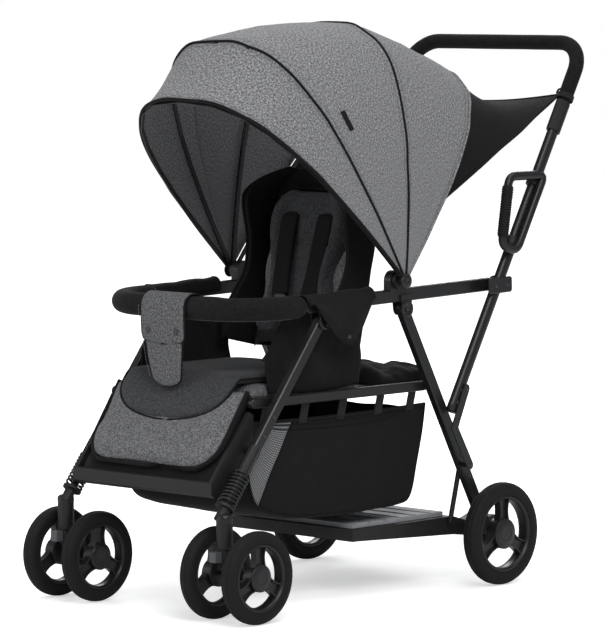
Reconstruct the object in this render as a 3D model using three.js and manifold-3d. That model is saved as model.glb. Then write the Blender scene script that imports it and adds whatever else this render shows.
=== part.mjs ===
// A sit-and-stand tandem stroller: a folding tube frame with a front seat, a rear bench
// and standing plate, a three-panel canopy, a basket, two rear wheels and two twin casters.
// Millimetres, +Z up, front towards -Y, left side towards +X.
import * as THREE from 'three';
import { mergeVertices } from 'three/addons/utils/BufferGeometryUtils.js';
import Module from 'manifold-3d';

const wasm = await Module();
wasm.setup();

// Clearances
const gap = 0.4;
const overrun = 2;
const pinPlay = 0.3;

// Rear wheels and axle
const rearWheelRadius = 97.5;
const rearWheelWidth = 32;
const rearWheelX = 250;
const rearAxleRadius = 5;
const rearHubRadius = 22;
const rearRimRadius = 68;
const spokeWidth = 13;
const spokeThickness = 20;

// Front casters
const wheelSteps = 20;
const frontWheelRadius = 84;
const frontWheelWidth = 29;
const frontWheelPitch = 103;
const frontHubRadius = 18;
const frontRimRadius = 58;
const casterX = 205;
const casterY = -703;
const casterTrail = 30;
const frontAxleRadius = 4;
const forkWidth = 26;

// Side frame: pivots in the side plane, as [y, z]
const legX = 197;
const legThickness = 17;
const rearPivot = [-222, 535];
const frontPivot = [-444, 527];
const handlePivot = [24, 568];
const pivotDrop = 27;
const rearFoot = [12, 112];
const rearLegWidth = 22;
const rearFootRadius = 22;
const frontLegWidth = 20;
const frontLegEnd = [-649, 265];
const springLength = 71;
const armrestHeight = 24;
const armrestFrontReach = 34;
const armrestEndGap = 14;
const plateThickness = 3;
const rivetRadius = 4;
const castingWidth = 32;
const hubOffset = [-23, 57];
const hubRadius = 19;
const hubPinRadius = 5;

// Handle
const handleX = 218.5;
const handleTubeHalfWidth = 9.5;
const handleTubeHalfDepth = 12;
const handleTop = [282, 1023];
const handleLow = [-108, 336];
const handleBendRadius = 62;
const foamRadius = 14.5;
const foamReach = 68;
const connectorRadius = 14;
const connectorLength = 64;
const grabStart = 72;
const grabEnd = 236;
const grabTopReach = 104;
const grabLowReach = 44;
const grabLowRise = 12;
const grabTubeRadius = 8.5;
const grabGripRadius = 11;
const grabClampLength = 18;

// Fold link
const linkX = 231.3;
const linkThickness = 2.6;
const linkWidth = 17;
const linkTop = [-79, 378];
const linkElbow = [-112, 306];
const linkLow = [-68, 232];

// Seat
const railX = 175;
const railThickness = 14;
const railHeight = 18;
const railPivot = [-552, 384];
const railFront = -600;
const railRear = -140;
const boardHalfWidth = 130;
const boardThickness = 10;
const cushionThickness = 34;
const boardFront = -580;
const seatRear = -300;
const calfHead = [-590, 396];
const calfFoot = [-684, 262];
const wallThickness = 5;
const backPivot = [-285, 402];
const backTop = [-212, 752];
const backThickness = 12;
const backInset = 14;
const backHalfWidth = boardHalfWidth - backInset;
const earThickness = 8;
const benchFront = -236;
const benchRear = -84;
const benchThickness = 26;

// Canopy bows: angle in degrees up from the front, and height of the arch
const hubWidth = 9.5;
const bowHalfWidth = legX + legThickness / 2 + hubWidth;
const bowPitch = 3;
const bowThickness = 2.4;
const bowBreadth = 9;
const bowSwellShare = 0.13;
const bowRoundnessShare = 0.8;
const canopyHeight = 514;
const bows = [
  { name: 'canopy_rear_bow', angle: 128, height: 0.944 * canopyHeight, step: 0 },
  { name: 'canopy_mid_bow', angle: 94, height: 0.922 * canopyHeight, step: 1 },
  { name: 'canopy_front_bow', angle: 59, height: canopyHeight, step: 2 },
  { name: 'canopy_visor_bow', angle: 43, height: 0.957 * canopyHeight, step: 3 },
];
const clothThickness = 2.4;
const clothSag = 13;

// Basket, footrest and standing plate
const basketHalfWidth = 160;
const basketFront = -604;
const basketRear = -112;
const basketTop = 342;
const basketBottom = 152;
const basketWall = 4;
const basketToe = 20;
const basketToeRise = 45;
const basketFloorStart = 160;
const basketHeel = 40;
const footrestLegGap = 10.5;
const footrestHalfWidth = legX - legThickness / 2 - footrestLegGap;
const footrestFront = -709;
const footrestCheekThickness = 9;
const calfGap = 4;
const calfHalfWidth = footrestHalfWidth - footrestCheekThickness - calfGap;
const plateLegGap = 16.5;
const plateHalfWidth = legX - legThickness / 2 - plateLegGap;
const plateFront = -330;
const plateRear = -48;
const plateTop = 128;
const plateDepth = 22;
const gripThickness = 9;

// Bumper
const bumperRadius = 21;
const bumperFront = -628;
const bumperRise = 552;
const bumperBend = 105;

const colours = {
  frame: { color: 0x2b2c2e, roughness: 0.55, metalness: 0.4 },
  plastic: { color: 0x1c1c1d, roughness: 0.6, metalness: 0 },
  rubber: { color: 0x232425, roughness: 0.85, metalness: 0 },
  foam: { color: 0x171718, roughness: 0.95, metalness: 0 },
  steel: { color: 0x8d9094, roughness: 0.35, metalness: 1 },
  cloth: { color: 0x6d6e70, roughness: 0.95, metalness: 0 },
  blackCloth: { color: 0x151516, roughness: 0.95, metalness: 0 },
  grip: { color: 0xa9abac, roughness: 0.8, metalness: 0 },
};

const sides = [['left', 1], ['right', -1]];
const rad = THREE.MathUtils.degToRad;
const group = new THREE.Group();

// Every piece is one named mesh.
function add(name, geometry, colour) {
  const mesh = new THREE.Mesh(geometry, new THREE.MeshStandardMaterial(colours[colour]));
  mesh.name = name;
  group.add(mesh);
  return mesh;
}

// Turns a geometry into a solid for joining and cutting.
function solid(geometry) {
  const bare = geometry.clone();
  bare.deleteAttribute('normal');
  bare.deleteAttribute('uv');
  const merged = mergeVertices(bare.index ? bare.toNonIndexed() : bare, 1e-3);
  const vertProperties = Float32Array.from(merged.attributes.position.array);
  const triVerts = Uint32Array.from(merged.index.array);
  return new wasm.Manifold(new wasm.Mesh({ numProp: 3, vertProperties, triVerts }));
}

function geometryOf(body) {
  const mesh = body.getMesh();
  const geometry = new THREE.BufferGeometry();
  geometry.setAttribute('position', new THREE.BufferAttribute(mesh.vertProperties, 3));
  geometry.setIndex(new THREE.BufferAttribute(mesh.triVerts, 1));
  const flat = geometry.toNonIndexed();
  flat.computeVertexNormals();
  return flat;
}

const join = (...parts) => geometryOf(parts.map(solid).reduce((a, b) => a.add(b)));
const cut = (body, ...tools) => geometryOf(
  tools.map(solid).reduce((a, b) => a.subtract(b), solid(body)),
);

// A mirrored copy keeps its faces pointing out.
function mirrored(geometry, side) {
  if (side > 0) return geometry;
  const copy = (geometry.index ? geometry.toNonIndexed() : geometry.clone()).scale(-1, 1, 1);
  const p = copy.attributes.position.array;
  for (let i = 0; i < p.length; i += 9) {
    for (let k = 0; k < 3; k += 1) {
      const held = p[i + 3 + k];
      p[i + 3 + k] = p[i + 6 + k];
      p[i + 6 + k] = held;
    }
  }
  copy.computeVertexNormals();
  return copy;
}

// An outline in the side plane, given thickness across X.
function plate(shape, x, thickness, bevel = 0) {
  const geometry = new THREE.ExtrudeGeometry(shape, {
    depth: thickness - 2 * bevel,
    bevelEnabled: bevel > 0,
    bevelThickness: bevel,
    bevelSize: bevel,
    bevelOffset: -bevel,
    bevelSegments: 1,
    curveSegments: 3,
  });
  geometry.translate(0, 0, bevel - thickness / 2);
  const turn = new THREE.Matrix4().makeBasis(
    new THREE.Vector3(0, 1, 0),
    new THREE.Vector3(0, 0, 1),
    new THREE.Vector3(1, 0, 0),
  );
  return geometry.applyMatrix4(turn).translate(x, 0, 0);
}

// A round-ended bar between two points of the side plane.
function barShape([y0, z0], [y1, z1], width) {
  const along = Math.atan2(z1 - z0, y1 - y0);
  const shape = new THREE.Shape();
  shape.absarc(y1, z1, width / 2, along - Math.PI / 2, along + Math.PI / 2, false);
  shape.absarc(y0, z0, width / 2, along + Math.PI / 2, along + 3 * Math.PI / 2, false);
  shape.closePath();
  return shape;
}

function polygon(points) {
  return new THREE.Shape(points.map(([y, z]) => new THREE.Vector2(y, z)));
}

// A rod along X.
function rod([y, z], x, radius, length, segments = 12) {
  return new THREE.CylinderGeometry(radius, radius, length, segments)
    .rotateZ(Math.PI / 2)
    .translate(x, y, z);
}

// A turned shape about the X axis, from [radius, x] points that close on themselves.
// Half a step of turn brings a flat facet to the bottom, for the wheels to stand on.
function turned(points, [y, z], x, segments = wheelSteps) {
  const profile = points.map(([r, offset]) => new THREE.Vector2(r, offset));
  profile.push(profile[0].clone());
  return new THREE.LatheGeometry(profile, segments)
    .rotateZ(-Math.PI / 2)
    .rotateX(Math.PI / segments)
    .translate(x, y, z);
}

const span = (side, from, to) => (side > 0 ? [from, to] : [-to, -from]);

function block(x0, x1, y0, y1, z0, z1) {
  return new THREE.BoxGeometry(x1 - x0, y1 - y0, z1 - z0)
    .translate((x0 + x1) / 2, (y0 + y1) / 2, (z0 + z1) / 2);
}

// A section drawn along a path, as [across, over] half sizes.
function ellipse(halfWidth, halfDepth, hole = 0, sidesOfSection = 10) {
  const ring = (w, d) => Array.from({ length: sidesOfSection }, (_, i) => {
    const a = (i + 0.5) / sidesOfSection * 2 * Math.PI;
    return new THREE.Vector2(w * Math.cos(a), d * Math.sin(a));
  });
  const shape = new THREE.Shape(ring(halfWidth, halfDepth));
  if (hole > 0) shape.holes.push(new THREE.Path(ring(halfWidth - hole, halfDepth - hole)));
  return shape;
}

function along(path, shape, steps) {
  return new THREE.ExtrudeGeometry(shape, { steps, extrudePath: path, bevelEnabled: false });
}

const between = (a, b, share) => a.map((v, i) => v + (b[i] - v) * share);
const distance = (a, b) => Math.hypot(b[0] - a[0], b[1] - a[1]);
const heading = (a, b) => [(b[0] - a[0]) / distance(a, b), (b[1] - a[1]) / distance(a, b)];

// Wheels
function tyre(standingRadius, width, rimRadius) {
  const radius = standingRadius / Math.cos(Math.PI / wheelSteps);
  const crown = width * 0.3;
  return [
    [rimRadius, -width / 2 + gap],
    [radius - crown, -width / 2],
    [radius - crown / 4, -width / 4],
    [radius, -width / 8],
    [radius, width / 8],
    [radius - crown / 4, width / 4],
    [radius - crown, width / 2],
    [rimRadius, width / 2 - gap],
  ];
}

function rim(rimRadius, width, hubRadiusOfWheel, boreRadius, centre, x) {
  const wallWidth = width * 0.7;
  const ringWidth = rimRadius * 0.1;
  const ring = turned([
    [rimRadius - ringWidth, -wallWidth / 2],
    [rimRadius - gap, -wallWidth / 2],
    [rimRadius - gap, wallWidth / 2],
    [rimRadius - ringWidth, wallWidth / 2],
  ], centre, x);
  const hub = rod(centre, x, hubRadiusOfWheel, width, 20);
  const spokes = [0, 1, 2].map((i) => {
    const angle = rad(120 * i + 90);
    const reach = rimRadius - (ringWidth + spokeWidth) / 2;
    const end = [centre[0] + reach * Math.cos(angle), centre[1] + reach * Math.sin(angle)];
    return plate(barShape(centre, end, spokeWidth), x, Math.min(spokeThickness, wallWidth));
  });
  return cut(join(ring, hub, ...spokes), rod(centre, x, boreRadius + pinPlay, width + overrun));
}

const rearCentre = [0, rearWheelRadius];
const frontCentre = [casterY + casterTrail, frontWheelRadius];
for (const [side, s] of sides) {
  add(`rear_tyre_${side}`, turned(
    tyre(rearWheelRadius, rearWheelWidth, rearRimRadius),
    rearCentre,
    s * rearWheelX,
  ), 'rubber');
  add(`rear_rim_${side}`, rim(
    rearRimRadius,
    rearWheelWidth,
    rearHubRadius,
    rearAxleRadius,
    rearCentre,
    s * rearWheelX,
  ), 'plastic');
}
const rearAxleReach = rearWheelX + rearWheelWidth / 2 - 3 * gap;
add('rear_axle', rod(rearCentre, 0, rearAxleRadius, 2 * rearAxleReach), 'steel');

// Rear frame: each leg ends in the housing that holds the axle.
const rearLegShape = barShape(rearPivot, rearFoot, rearLegWidth);
const rearLeg = cut(
  join(
    plate(rearLegShape, legX, legThickness, 2),
    rod(rearCentre, legX, rearFootRadius, legThickness, 20),
  ),
  rod(rearCentre, legX, rearAxleRadius + pinPlay, legThickness + overrun),
  rod(rearPivot, legX, rivetRadius + pinPlay, legThickness + overrun, 12),
);
for (const [side, s] of sides) add(`rear_leg_${side}`, mirrored(rearLeg, s), 'frame');

// Standing plate: a dished frame hung on the axle, with a ribbed grip on top.
const axleClear = rearAxleRadius + pinPlay;
const plateShape = new THREE.Shape();
plateShape.moveTo(plateFront, plateTop - plateDepth);
plateShape.lineTo(plateFront + plateDepth / 2, plateTop - plateDepth);
plateShape.lineTo(plateRear, plateTop - 1.6 * plateDepth);
plateShape.lineTo(rearAxleRadius * 3, rearWheelRadius - rearAxleRadius * 2.6);
plateShape.lineTo(rearAxleRadius * 3, rearWheelRadius + rearAxleRadius * 2.4);
plateShape.lineTo(plateRear, plateTop);
plateShape.lineTo(plateFront, plateTop);
plateShape.closePath();
add('footplate_frame', cut(
  plate(plateShape, 0, 2 * plateHalfWidth),
  rod(rearCentre, 0, axleClear, 2 * plateHalfWidth + overrun),
), 'plastic');
const gripRibs = 6;
const gripInset = 14;
const gripFront = plateFront + gripInset;
const gripRear = plateRear - gripInset;
const gripShape = new THREE.Shape();
const ribPitch = (gripRear - gripFront) / gripRibs;
gripShape.moveTo(gripFront, plateTop + gap);
gripShape.lineTo(gripRear, plateTop + gap);
for (let i = gripRibs; i > 0; i -= 1) {
  const y = gripFront + ribPitch * i;
  gripShape.lineTo(y, plateTop + gripThickness);
  gripShape.lineTo(y - ribPitch * 0.7, plateTop + gripThickness);
  gripShape.lineTo(y - ribPitch * 0.75, plateTop + gripThickness * 0.7);
  gripShape.lineTo(y - ribPitch * 0.95, plateTop + gripThickness * 0.7);
}
gripShape.lineTo(gripFront, plateTop + gripThickness);
gripShape.closePath();
add('footplate_grip', plate(gripShape, 0, 2 * (plateHalfWidth - gripInset)), 'grip');

// Stay rods from the rear legs down to the standing plate
const stayTop = between(rearPivot, rearFoot, 0.76);
const stayX = legX - legThickness / 2 - gap;
const stayRadius = 5;
const stayPath = new THREE.CatmullRomCurve3([
  new THREE.Vector3(stayX - stayRadius, stayTop[0], stayTop[1] + stayRadius),
  new THREE.Vector3(stayX - stayRadius, stayTop[0] - stayRadius, stayTop[1] - 3 * stayRadius),
  new THREE.Vector3(
    plateHalfWidth + stayRadius + gap,
    plateRear - 3 * stayRadius,
    plateTop - 2 * stayRadius,
  ),
], false, 'catmullrom', 0.1);
const stay = along(stayPath, ellipse(stayRadius, stayRadius, 0, 8), 8);
for (const [side, s] of sides) add(`stay_rod_${side}`, mirrored(stay, s), 'frame');

// Brake bar: turns on the axle's line behind the standing plate, with a pedal at each end.
const pedalLength = 46;
const pedalThickness = 7;
const pedalWidth = 60;
const brakeY = rearCentre[0] + 4 * rearAxleRadius;
const brakeBarRadius = 4;
const brakePivot = [brakeY + brakeBarRadius, rearWheelRadius];
const pedalX = plateHalfWidth - pedalWidth / 2;
add('brake_bar', join(
  rod(brakePivot, 0, brakeBarRadius, 2 * (legX - legThickness / 2 - gap), 12),
  ...sides.map(([, s]) => plate(
    barShape(brakePivot, [brakePivot[0] + pedalLength, brakePivot[1] + pedalLength / 3],
      pedalThickness + 2 * brakeBarRadius),
    s * pedalX,
    pedalWidth,
  )),
), 'plastic');

// Armrests: a bar over the two leg pivots, with its castings and the canopy's seat.
const hubCentre = [rearPivot[0] + hubOffset[0], rearPivot[1] + hubOffset[1] - 3];
const armrestFront = [frontPivot[0] - armrestFrontReach, frontPivot[1] + pivotDrop];
const armrestRear = [handlePivot[0] - armrestHeight / 2 + armrestEndGap, handlePivot[1]];
function lugShape([y, z], top) {
  const half = castingWidth / 2;
  const shape = new THREE.Shape();
  shape.moveTo(y - half, top);
  shape.lineTo(y - half * 0.8, z);
  shape.absarc(y, z, half * 0.8, Math.PI, 2 * Math.PI, false);
  shape.lineTo(y + half, top);
  shape.closePath();
  return shape;
}
const armrestTop = rearPivot[1] + pivotDrop;
const lugX = legX + legThickness / 2 + gap + plateThickness / 2;
const lugInnerX = legX - legThickness / 2 - gap - plateThickness / 2;
const hubSeatTop = hubCentre[1];
const armrest = cut(
  join(
    plate(barShape(armrestFront, armrestRear, armrestHeight), legX, legThickness, 2),
    plate(lugShape(rearPivot, armrestTop), lugX - gap, plateThickness + gap),
    plate(lugShape(rearPivot, armrestTop), lugInnerX + gap, plateThickness + gap),
    plate(lugShape(frontPivot, armrestTop), lugX - gap, plateThickness + gap),
    plate(lugShape(frontPivot, armrestTop), lugInnerX + gap, plateThickness + gap),
    rod(hubCentre, legX, hubRadius, legThickness, 20),
    block(
      legX - legThickness / 2,
      legX + legThickness / 2,
      hubCentre[0] - hubRadius,
      hubCentre[0] + hubRadius,
      armrestTop - armrestHeight / 4,
      hubSeatTop,
    ),
  ),
  plate(barShape(rearPivot, rearFoot, rearLegWidth + 3 * gap), legX, legThickness + 2 * gap),
  plate(barShape(frontPivot, frontLegEnd, frontLegWidth + 3 * gap), legX, legThickness + 2 * gap),
  ...[rearPivot, frontPivot].map(([y, z]) => block(
    legX - legThickness / 2 - gap,
    legX + legThickness / 2 + gap,
    y - castingWidth,
    y + castingWidth,
    z - castingWidth,
    z + frontLegWidth / 2,
  )),
  rod(hubCentre, legX, hubPinRadius + pinPlay, legThickness + overrun, 12),
);
for (const [side, s] of sides) add(`armrest_${side}`, mirrored(armrest, s), 'frame');

// Front legs: a tube to the spring, and a collar bored for the sliding stem.
const legHeading = heading(frontPivot, frontLegEnd);
const collarRadius = 12.5;
const collarLength = 34;
const stemRadius = 7;
const stemTravel = 12;
function tilted(geometry, [y, z], x) {
  const tilt = Math.atan2(-legHeading[0], -legHeading[1]);
  return geometry.rotateX(-tilt).translate(0, 0, 0).applyMatrix4(
    new THREE.Matrix4().makeTranslation(x, y, z),
  );
}
const downLeg = (start, length) => [
  start[0] + legHeading[0] * length,
  start[1] + legHeading[1] * length,
];
function axial(radius, length, segments = 16) {
  return new THREE.CylinderGeometry(radius, radius, length, segments).rotateX(Math.PI / 2);
}
const collarTop = downLeg(frontLegEnd, -collarLength);
const stemTop = downLeg(frontLegEnd, -stemTravel);
const boreDepth = 2.5 * stemTravel;
const frontLeg = cut(
  join(
    plate(barShape(frontPivot, collarTop, frontLegWidth), legX, legThickness, 2),
    tilted(axial(collarRadius, collarLength + frontLegWidth),
      downLeg(frontLegEnd, -(collarLength + frontLegWidth) / 2), legX),
  ),
  tilted(axial(stemRadius + pinPlay, 2 * boreDepth), frontLegEnd, legX),
);
for (const [side, s] of sides) add(`front_leg_${side}`, mirrored(frontLeg, s), 'frame');

// Suspension: a stem that slides in the collar, with the caster's upright housing below.
const springEnd = downLeg(frontLegEnd, springLength);
const housingTop = 192;
const housingBottom = 134;
const housingRadius = 15;
const seatThickness = 5;
const springRadius = 16;
const wireRadius = 2.1;
const stemMiddle = between(stemTop, springEnd, 0.5);
const stem = join(
  tilted(axial(stemRadius, distance(stemTop, springEnd) + seatThickness), stemMiddle, legX),
  tilted(axial(springRadius + wireRadius, seatThickness),
    downLeg(springEnd, seatThickness / 2), legX),
  new THREE.CylinderGeometry(housingRadius, housingRadius, housingTop - housingBottom, 18)
    .rotateX(Math.PI / 2)
    .translate(casterX, casterY, (housingTop + housingBottom) / 2),
  tilted(axial(stemRadius + 3, 2 * housingRadius), downLeg(springEnd, housingRadius), legX + 2),
);
for (const [side, s] of sides) add(`stem_${side}`, mirrored(stem, s), 'plastic');

// Springs: one helix each, its ends square to the collar and the seat.
const curls = 9;
const stepsPerCurl = 8;
const wireSides = 5;
function helixPoints() {
  const points = [];
  const free = springLength - 2 * (wireRadius + gap);
  const count = curls * stepsPerCurl;
  for (let i = 0; i <= count; i += 1) {
    const angle = i / stepsPerCurl * 2 * Math.PI;
    const height = wireRadius + gap + free * i / count;
    points.push(new THREE.Vector3(
      springRadius * Math.cos(angle),
      springRadius * Math.sin(angle),
      -height,
    ));
  }
  return points;
}
function tubeThrough(points, radius, sidesOfTube) {
  const positions = [];
  const index = [];
  points.forEach((point, i) => {
    const ahead = points[Math.min(i + 1, points.length - 1)];
    const behind = points[Math.max(i - 1, 0)];
    const direction = ahead.clone().sub(behind).normalize();
    const outward = new THREE.Vector3(point.x, point.y, 0).normalize();
    const over = new THREE.Vector3().crossVectors(direction, outward).normalize();
    const out = new THREE.Vector3().crossVectors(over, direction).normalize();
    for (let k = 0; k < sidesOfTube; k += 1) {
      const a = k / sidesOfTube * 2 * Math.PI;
      const p = point.clone()
        .addScaledVector(out, radius * Math.cos(a))
        .addScaledVector(over, radius * Math.sin(a));
      positions.push(p.x, p.y, p.z);
    }
  });
  const rings = points.length;
  for (let i = 0; i < rings - 1; i += 1) {
    for (let k = 0; k < sidesOfTube; k += 1) {
      const a = i * sidesOfTube + k;
      const b = i * sidesOfTube + (k + 1) % sidesOfTube;
      index.push(a, b, a + sidesOfTube, b, b + sidesOfTube, a + sidesOfTube);
    }
  }
  const last = (rings - 1) * sidesOfTube;
  for (let k = 1; k < sidesOfTube - 1; k += 1) {
    index.push(0, k + 1, k);
    index.push(last, last + k, last + k + 1);
  }
  const geometry = new THREE.BufferGeometry();
  geometry.setAttribute('position', new THREE.Float32BufferAttribute(positions, 3));
  geometry.setIndex(index);
  return geometry.toNonIndexed();
}
function selfGap(points, radius, skip) {
  let least = Infinity;
  points.forEach((p, i) => {
    for (let k = i + skip; k < points.length; k += 1) {
      least = Math.min(least, p.distanceTo(points[k]) - 2 * radius);
    }
  });
  return least;
}
const helix = helixPoints();
console.log('spring gap to itself, mm:', selfGap(helix, wireRadius, stepsPerCurl / 2).toFixed(2));
for (const [side, s] of sides) {
  const wire = tubeThrough(helix, wireRadius, wireSides);
  add(`spring_${side}`, mirrored(tilted(wire, frontLegEnd, legX), s), 'steel');
}

// Casters: a trailing fork between twin wheels.
const forkTop = housingBottom - gap;
const forkShape = new THREE.Shape();
forkShape.moveTo(casterY - housingRadius, forkTop);
forkShape.lineTo(casterY - housingRadius, forkTop - housingRadius);
forkShape.lineTo(frontCentre[0] - 2.4 * frontAxleRadius, frontCentre[1] - 2 * frontAxleRadius);
forkShape.absarc(frontCentre[0], frontCentre[1], 3 * frontAxleRadius, 1.25 * Math.PI, 0.25 * Math.PI,
  false);
forkShape.lineTo(casterY + 1.6 * housingRadius, forkTop);
forkShape.closePath();
const axleLength = frontWheelPitch + frontWheelWidth - 3 * gap;
const fork = join(
  plate(forkShape, casterX, forkWidth, 3),
  rod(frontCentre, casterX, frontAxleRadius, axleLength),
);
const lockWidth = 16;
for (const [side, s] of sides) {
  add(`fork_${side}`, mirrored(fork, s), 'plastic');
  for (const [place, t] of [['outer', 1], ['inner', -1]]) {
    const x = s * (casterX + t * frontWheelPitch / 2);
    const wheelRim = rim(
      frontRimRadius,
      frontWheelWidth,
      frontHubRadius,
      frontAxleRadius,
      frontCentre,
      x,
    );
    const band = turned(
      tyre(frontWheelRadius, frontWheelWidth, frontRimRadius - 2),
      frontCentre,
      x,
    );
    add(`front_wheel_${side}_${place}`, join(wheelRim, band), 'rubber');
  }
  const lock = block(
    casterX - lockWidth / 2,
    casterX + lockWidth / 2,
    casterY - housingRadius - lockWidth,
    casterY - housingRadius - gap,
    forkTop - 1.4 * housingRadius,
    forkTop - 0.2 * housingRadius,
  );
  add(`swivel_lock_${side}`, mirrored(lock, s), 'grip');
}

// Footrest: a lipped tray between two cheeks that follow the calf rest down.
const tray = [
  [footrestFront, 228],
  [footrestFront, 250],
  [footrestFront + 8, 252],
  [footrestFront + 13, 236],
  [-652, 230],
  [-652, 222],
  [footrestFront + 9, 222],
];
const cheek = [
  [-600, 364],
  [-612, 370],
  [footrestFront + 3, 252],
  [footrestFront, 228],
  [-660, 222],
  [-604, 290],
];
const crossbarShare = 0.86;
const crossbarRadius = 7;
const crossbarAt = between(frontPivot, frontLegEnd, crossbarShare);
add('footrest', cut(
  join(
    plate(polygon(tray), 0, 2 * footrestHalfWidth),
    ...sides.map(([, s]) => plate(
      polygon(cheek),
      s * (footrestHalfWidth - footrestCheekThickness / 2),
      footrestCheekThickness,
    )),
  ),
  rod(crossbarAt, 0, crossbarRadius + pinPlay, 2 * footrestHalfWidth + overrun),
), 'plastic');

// Crossbar between the front legs
const crossbarLength = 2 * (legX - collarRadius - gap);
add('front_crossbar', rod(crossbarAt, 0, crossbarRadius, crossbarLength, 12), 'frame');

// Seat rails, board and back
const railBossRadius = 7;
const railBossEnd = legX - legThickness / 2 - pinPlay;
const rail = join(
  plate(
    barShape([railFront, railPivot[1]], [railRear, railPivot[1]], railHeight),
    railX,
    railThickness,
    2,
  ),
  rod(railPivot, (railX + railBossEnd) / 2, railBossRadius, railBossEnd - railX),
);
for (const [side, s] of sides) add(`seat_rail_${side}`, mirrored(rail, s), 'frame');
const boardBottom = railPivot[1] - boardThickness / 2;
const hangerDepth = 16;
const hanger = (y) => block(
  -(railX - railThickness / 2 - gap),
  railX - railThickness / 2 - gap,
  y - hangerDepth / 2,
  y + hangerDepth / 2,
  boardBottom,
  boardBottom + boardThickness,
);
const backRodRadius = 5;
const backBase = backRodRadius + backThickness / 2;
const earX = backHalfWidth + gap + earThickness / 2;
add('seat_board', cut(
  join(
    block(-boardHalfWidth, boardHalfWidth, boardFront, benchFront - gap, boardBottom,
      boardBottom + boardThickness),
    hanger(boardFront + hangerDepth / 2),
    hanger(boardFront + 3 * hangerDepth),
    ...sides.map(([, s]) => plate(
      barShape(backPivot, [backPivot[0], boardBottom + boardThickness / 2], 2 * backBase),
      s * earX,
      earThickness,
    )),
  ),
  rod(backPivot, 0, backRodRadius + pinPlay, 3 * boardHalfWidth),
), 'plastic');

// A soft slab whose top swells, drawn in at its edges and along its channels.
function softSlab({ halfWidth, length, thickness, crown, channels, draw, cross = 10, steps = 11 }) {
  const positions = [];
  const index = [];
  const columns = cross + 1;
  const rowsOf = steps + 1;
  const heightAt = (u, v) => {
    const side = Math.pow(Math.max(0, 1 - Math.pow(Math.abs(2 * u - 1), 6)), 0.5);
    const end = Math.pow(Math.max(0, 1 - Math.pow(Math.abs(2 * v - 1), 8)), 0.5);
    const channel = channels > 0 ? Math.abs(Math.sin(Math.PI * v * (channels + 1))) : 1;
    return (thickness * 0.45 + crown * (0.6 + 0.4 * channel) * side) * (0.35 + 0.65 * side * end);
  };
  for (let j = 0; j < rowsOf; j += 1) {
    for (let i = 0; i < columns; i += 1) {
      const u = i / cross;
      const v = j / steps;
      const waist = halfWidth - draw * Math.sin(Math.PI * v);
      positions.push((2 * u - 1) * waist, v * length, heightAt(u, v));
    }
  }
  const top = positions.length / 3;
  for (let j = 0; j < rowsOf; j += 1) {
    for (let i = 0; i < columns; i += 1) {
      const waist = halfWidth - draw * Math.sin(Math.PI * j / steps);
      positions.push((2 * i / cross - 1) * waist, j / steps * length, 0);
    }
  }
  for (let j = 0; j < steps; j += 1) {
    for (let i = 0; i < cross; i += 1) {
      const a = j * columns + i;
      const b = a + 1;
      const c = a + columns;
      const d = c + 1;
      index.push(a, b, c, b, d, c);
      index.push(a + top, c + top, b + top, b + top, c + top, d + top);
    }
  }
  const wall = (a, b) => index.push(a, b, a + top, b, b + top, a + top);
  for (let i = 0; i < cross; i += 1) {
    wall(i + 1, i);
    wall(steps * columns + i, steps * columns + i + 1);
  }
  for (let j = 0; j < steps; j += 1) {
    wall(j * columns, (j + 1) * columns);
    wall((j + 1) * columns + cross, j * columns + cross);
  }
  const geometry = new THREE.BufferGeometry();
  geometry.setAttribute('position', new THREE.Float32BufferAttribute(positions, 3));
  geometry.setIndex(index);
  return geometry.toNonIndexed();
}

const boardTop = boardBottom + boardThickness;
const seatHalfWidth = railX - railThickness / 2 - 2 * gap;
const seatWall = [
  [-546, boardTop + 2 * gap],
  [-550, 452],
  [-500, 526],
  [-345, 536],
  [-324, boardTop + 2 * gap],
];
add('seat_cushion', join(
  softSlab({
    halfWidth: seatHalfWidth,
    length: seatRear - boardFront,
    thickness: cushionThickness,
    crown: 14,
    channels: 2,
    draw: 5,
    steps: 9,
  }).translate(0, boardFront, boardTop + gap),
  ...sides.map(([, s]) => plate(
    polygon(seatWall),
    s * (seatHalfWidth - wallThickness),
    wallThickness,
  )),
), 'cloth');

// The calf rest slopes down from the board's edge, from an apron of the same cloth.
const calfLean = Math.atan2(calfHead[0] - calfFoot[0], calfHead[1] - calfFoot[1]);
const calfThickness = 18;
const apronThickness = 7;
add('calf_rest', join(
  softSlab({
    halfWidth: calfHalfWidth,
    length: distance(calfFoot, calfHead),
    thickness: calfThickness,
    crown: 10,
    channels: 1,
    draw: 4,
    steps: 8,
  }).rotateX(Math.PI / 2 - calfLean).translate(0, ...calfFoot),
  block(
    -boardHalfWidth,
    boardHalfWidth,
    calfHead[0] - calfThickness,
    boardFront - gap,
    boardTop - boardThickness / 2 - apronThickness,
    boardTop - boardThickness / 2,
  ),
), 'cloth');

const backTilt = Math.atan2(backTop[1] - backPivot[1], backTop[0] - backPivot[0]);
const backLength = distance(backPivot, backTop);
add('backrest_rod', rod(backPivot, 0, backRodRadius, 2 * (earX + earThickness / 2)), 'steel');
const onBack = (geometry) => geometry.rotateX(backTilt).translate(0, ...backPivot);
add('backrest_board', onBack(cut(
  join(
    block(-backHalfWidth, backHalfWidth, 0, backLength, -backThickness / 2, backThickness / 2),
    rod([0, 0], 0, backBase, 2 * backHalfWidth, 16),
  ),
  rod([0, 0], 0, backRodRadius + pinPlay, 2 * backHalfWidth + overrun),
)), 'plastic');
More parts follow.
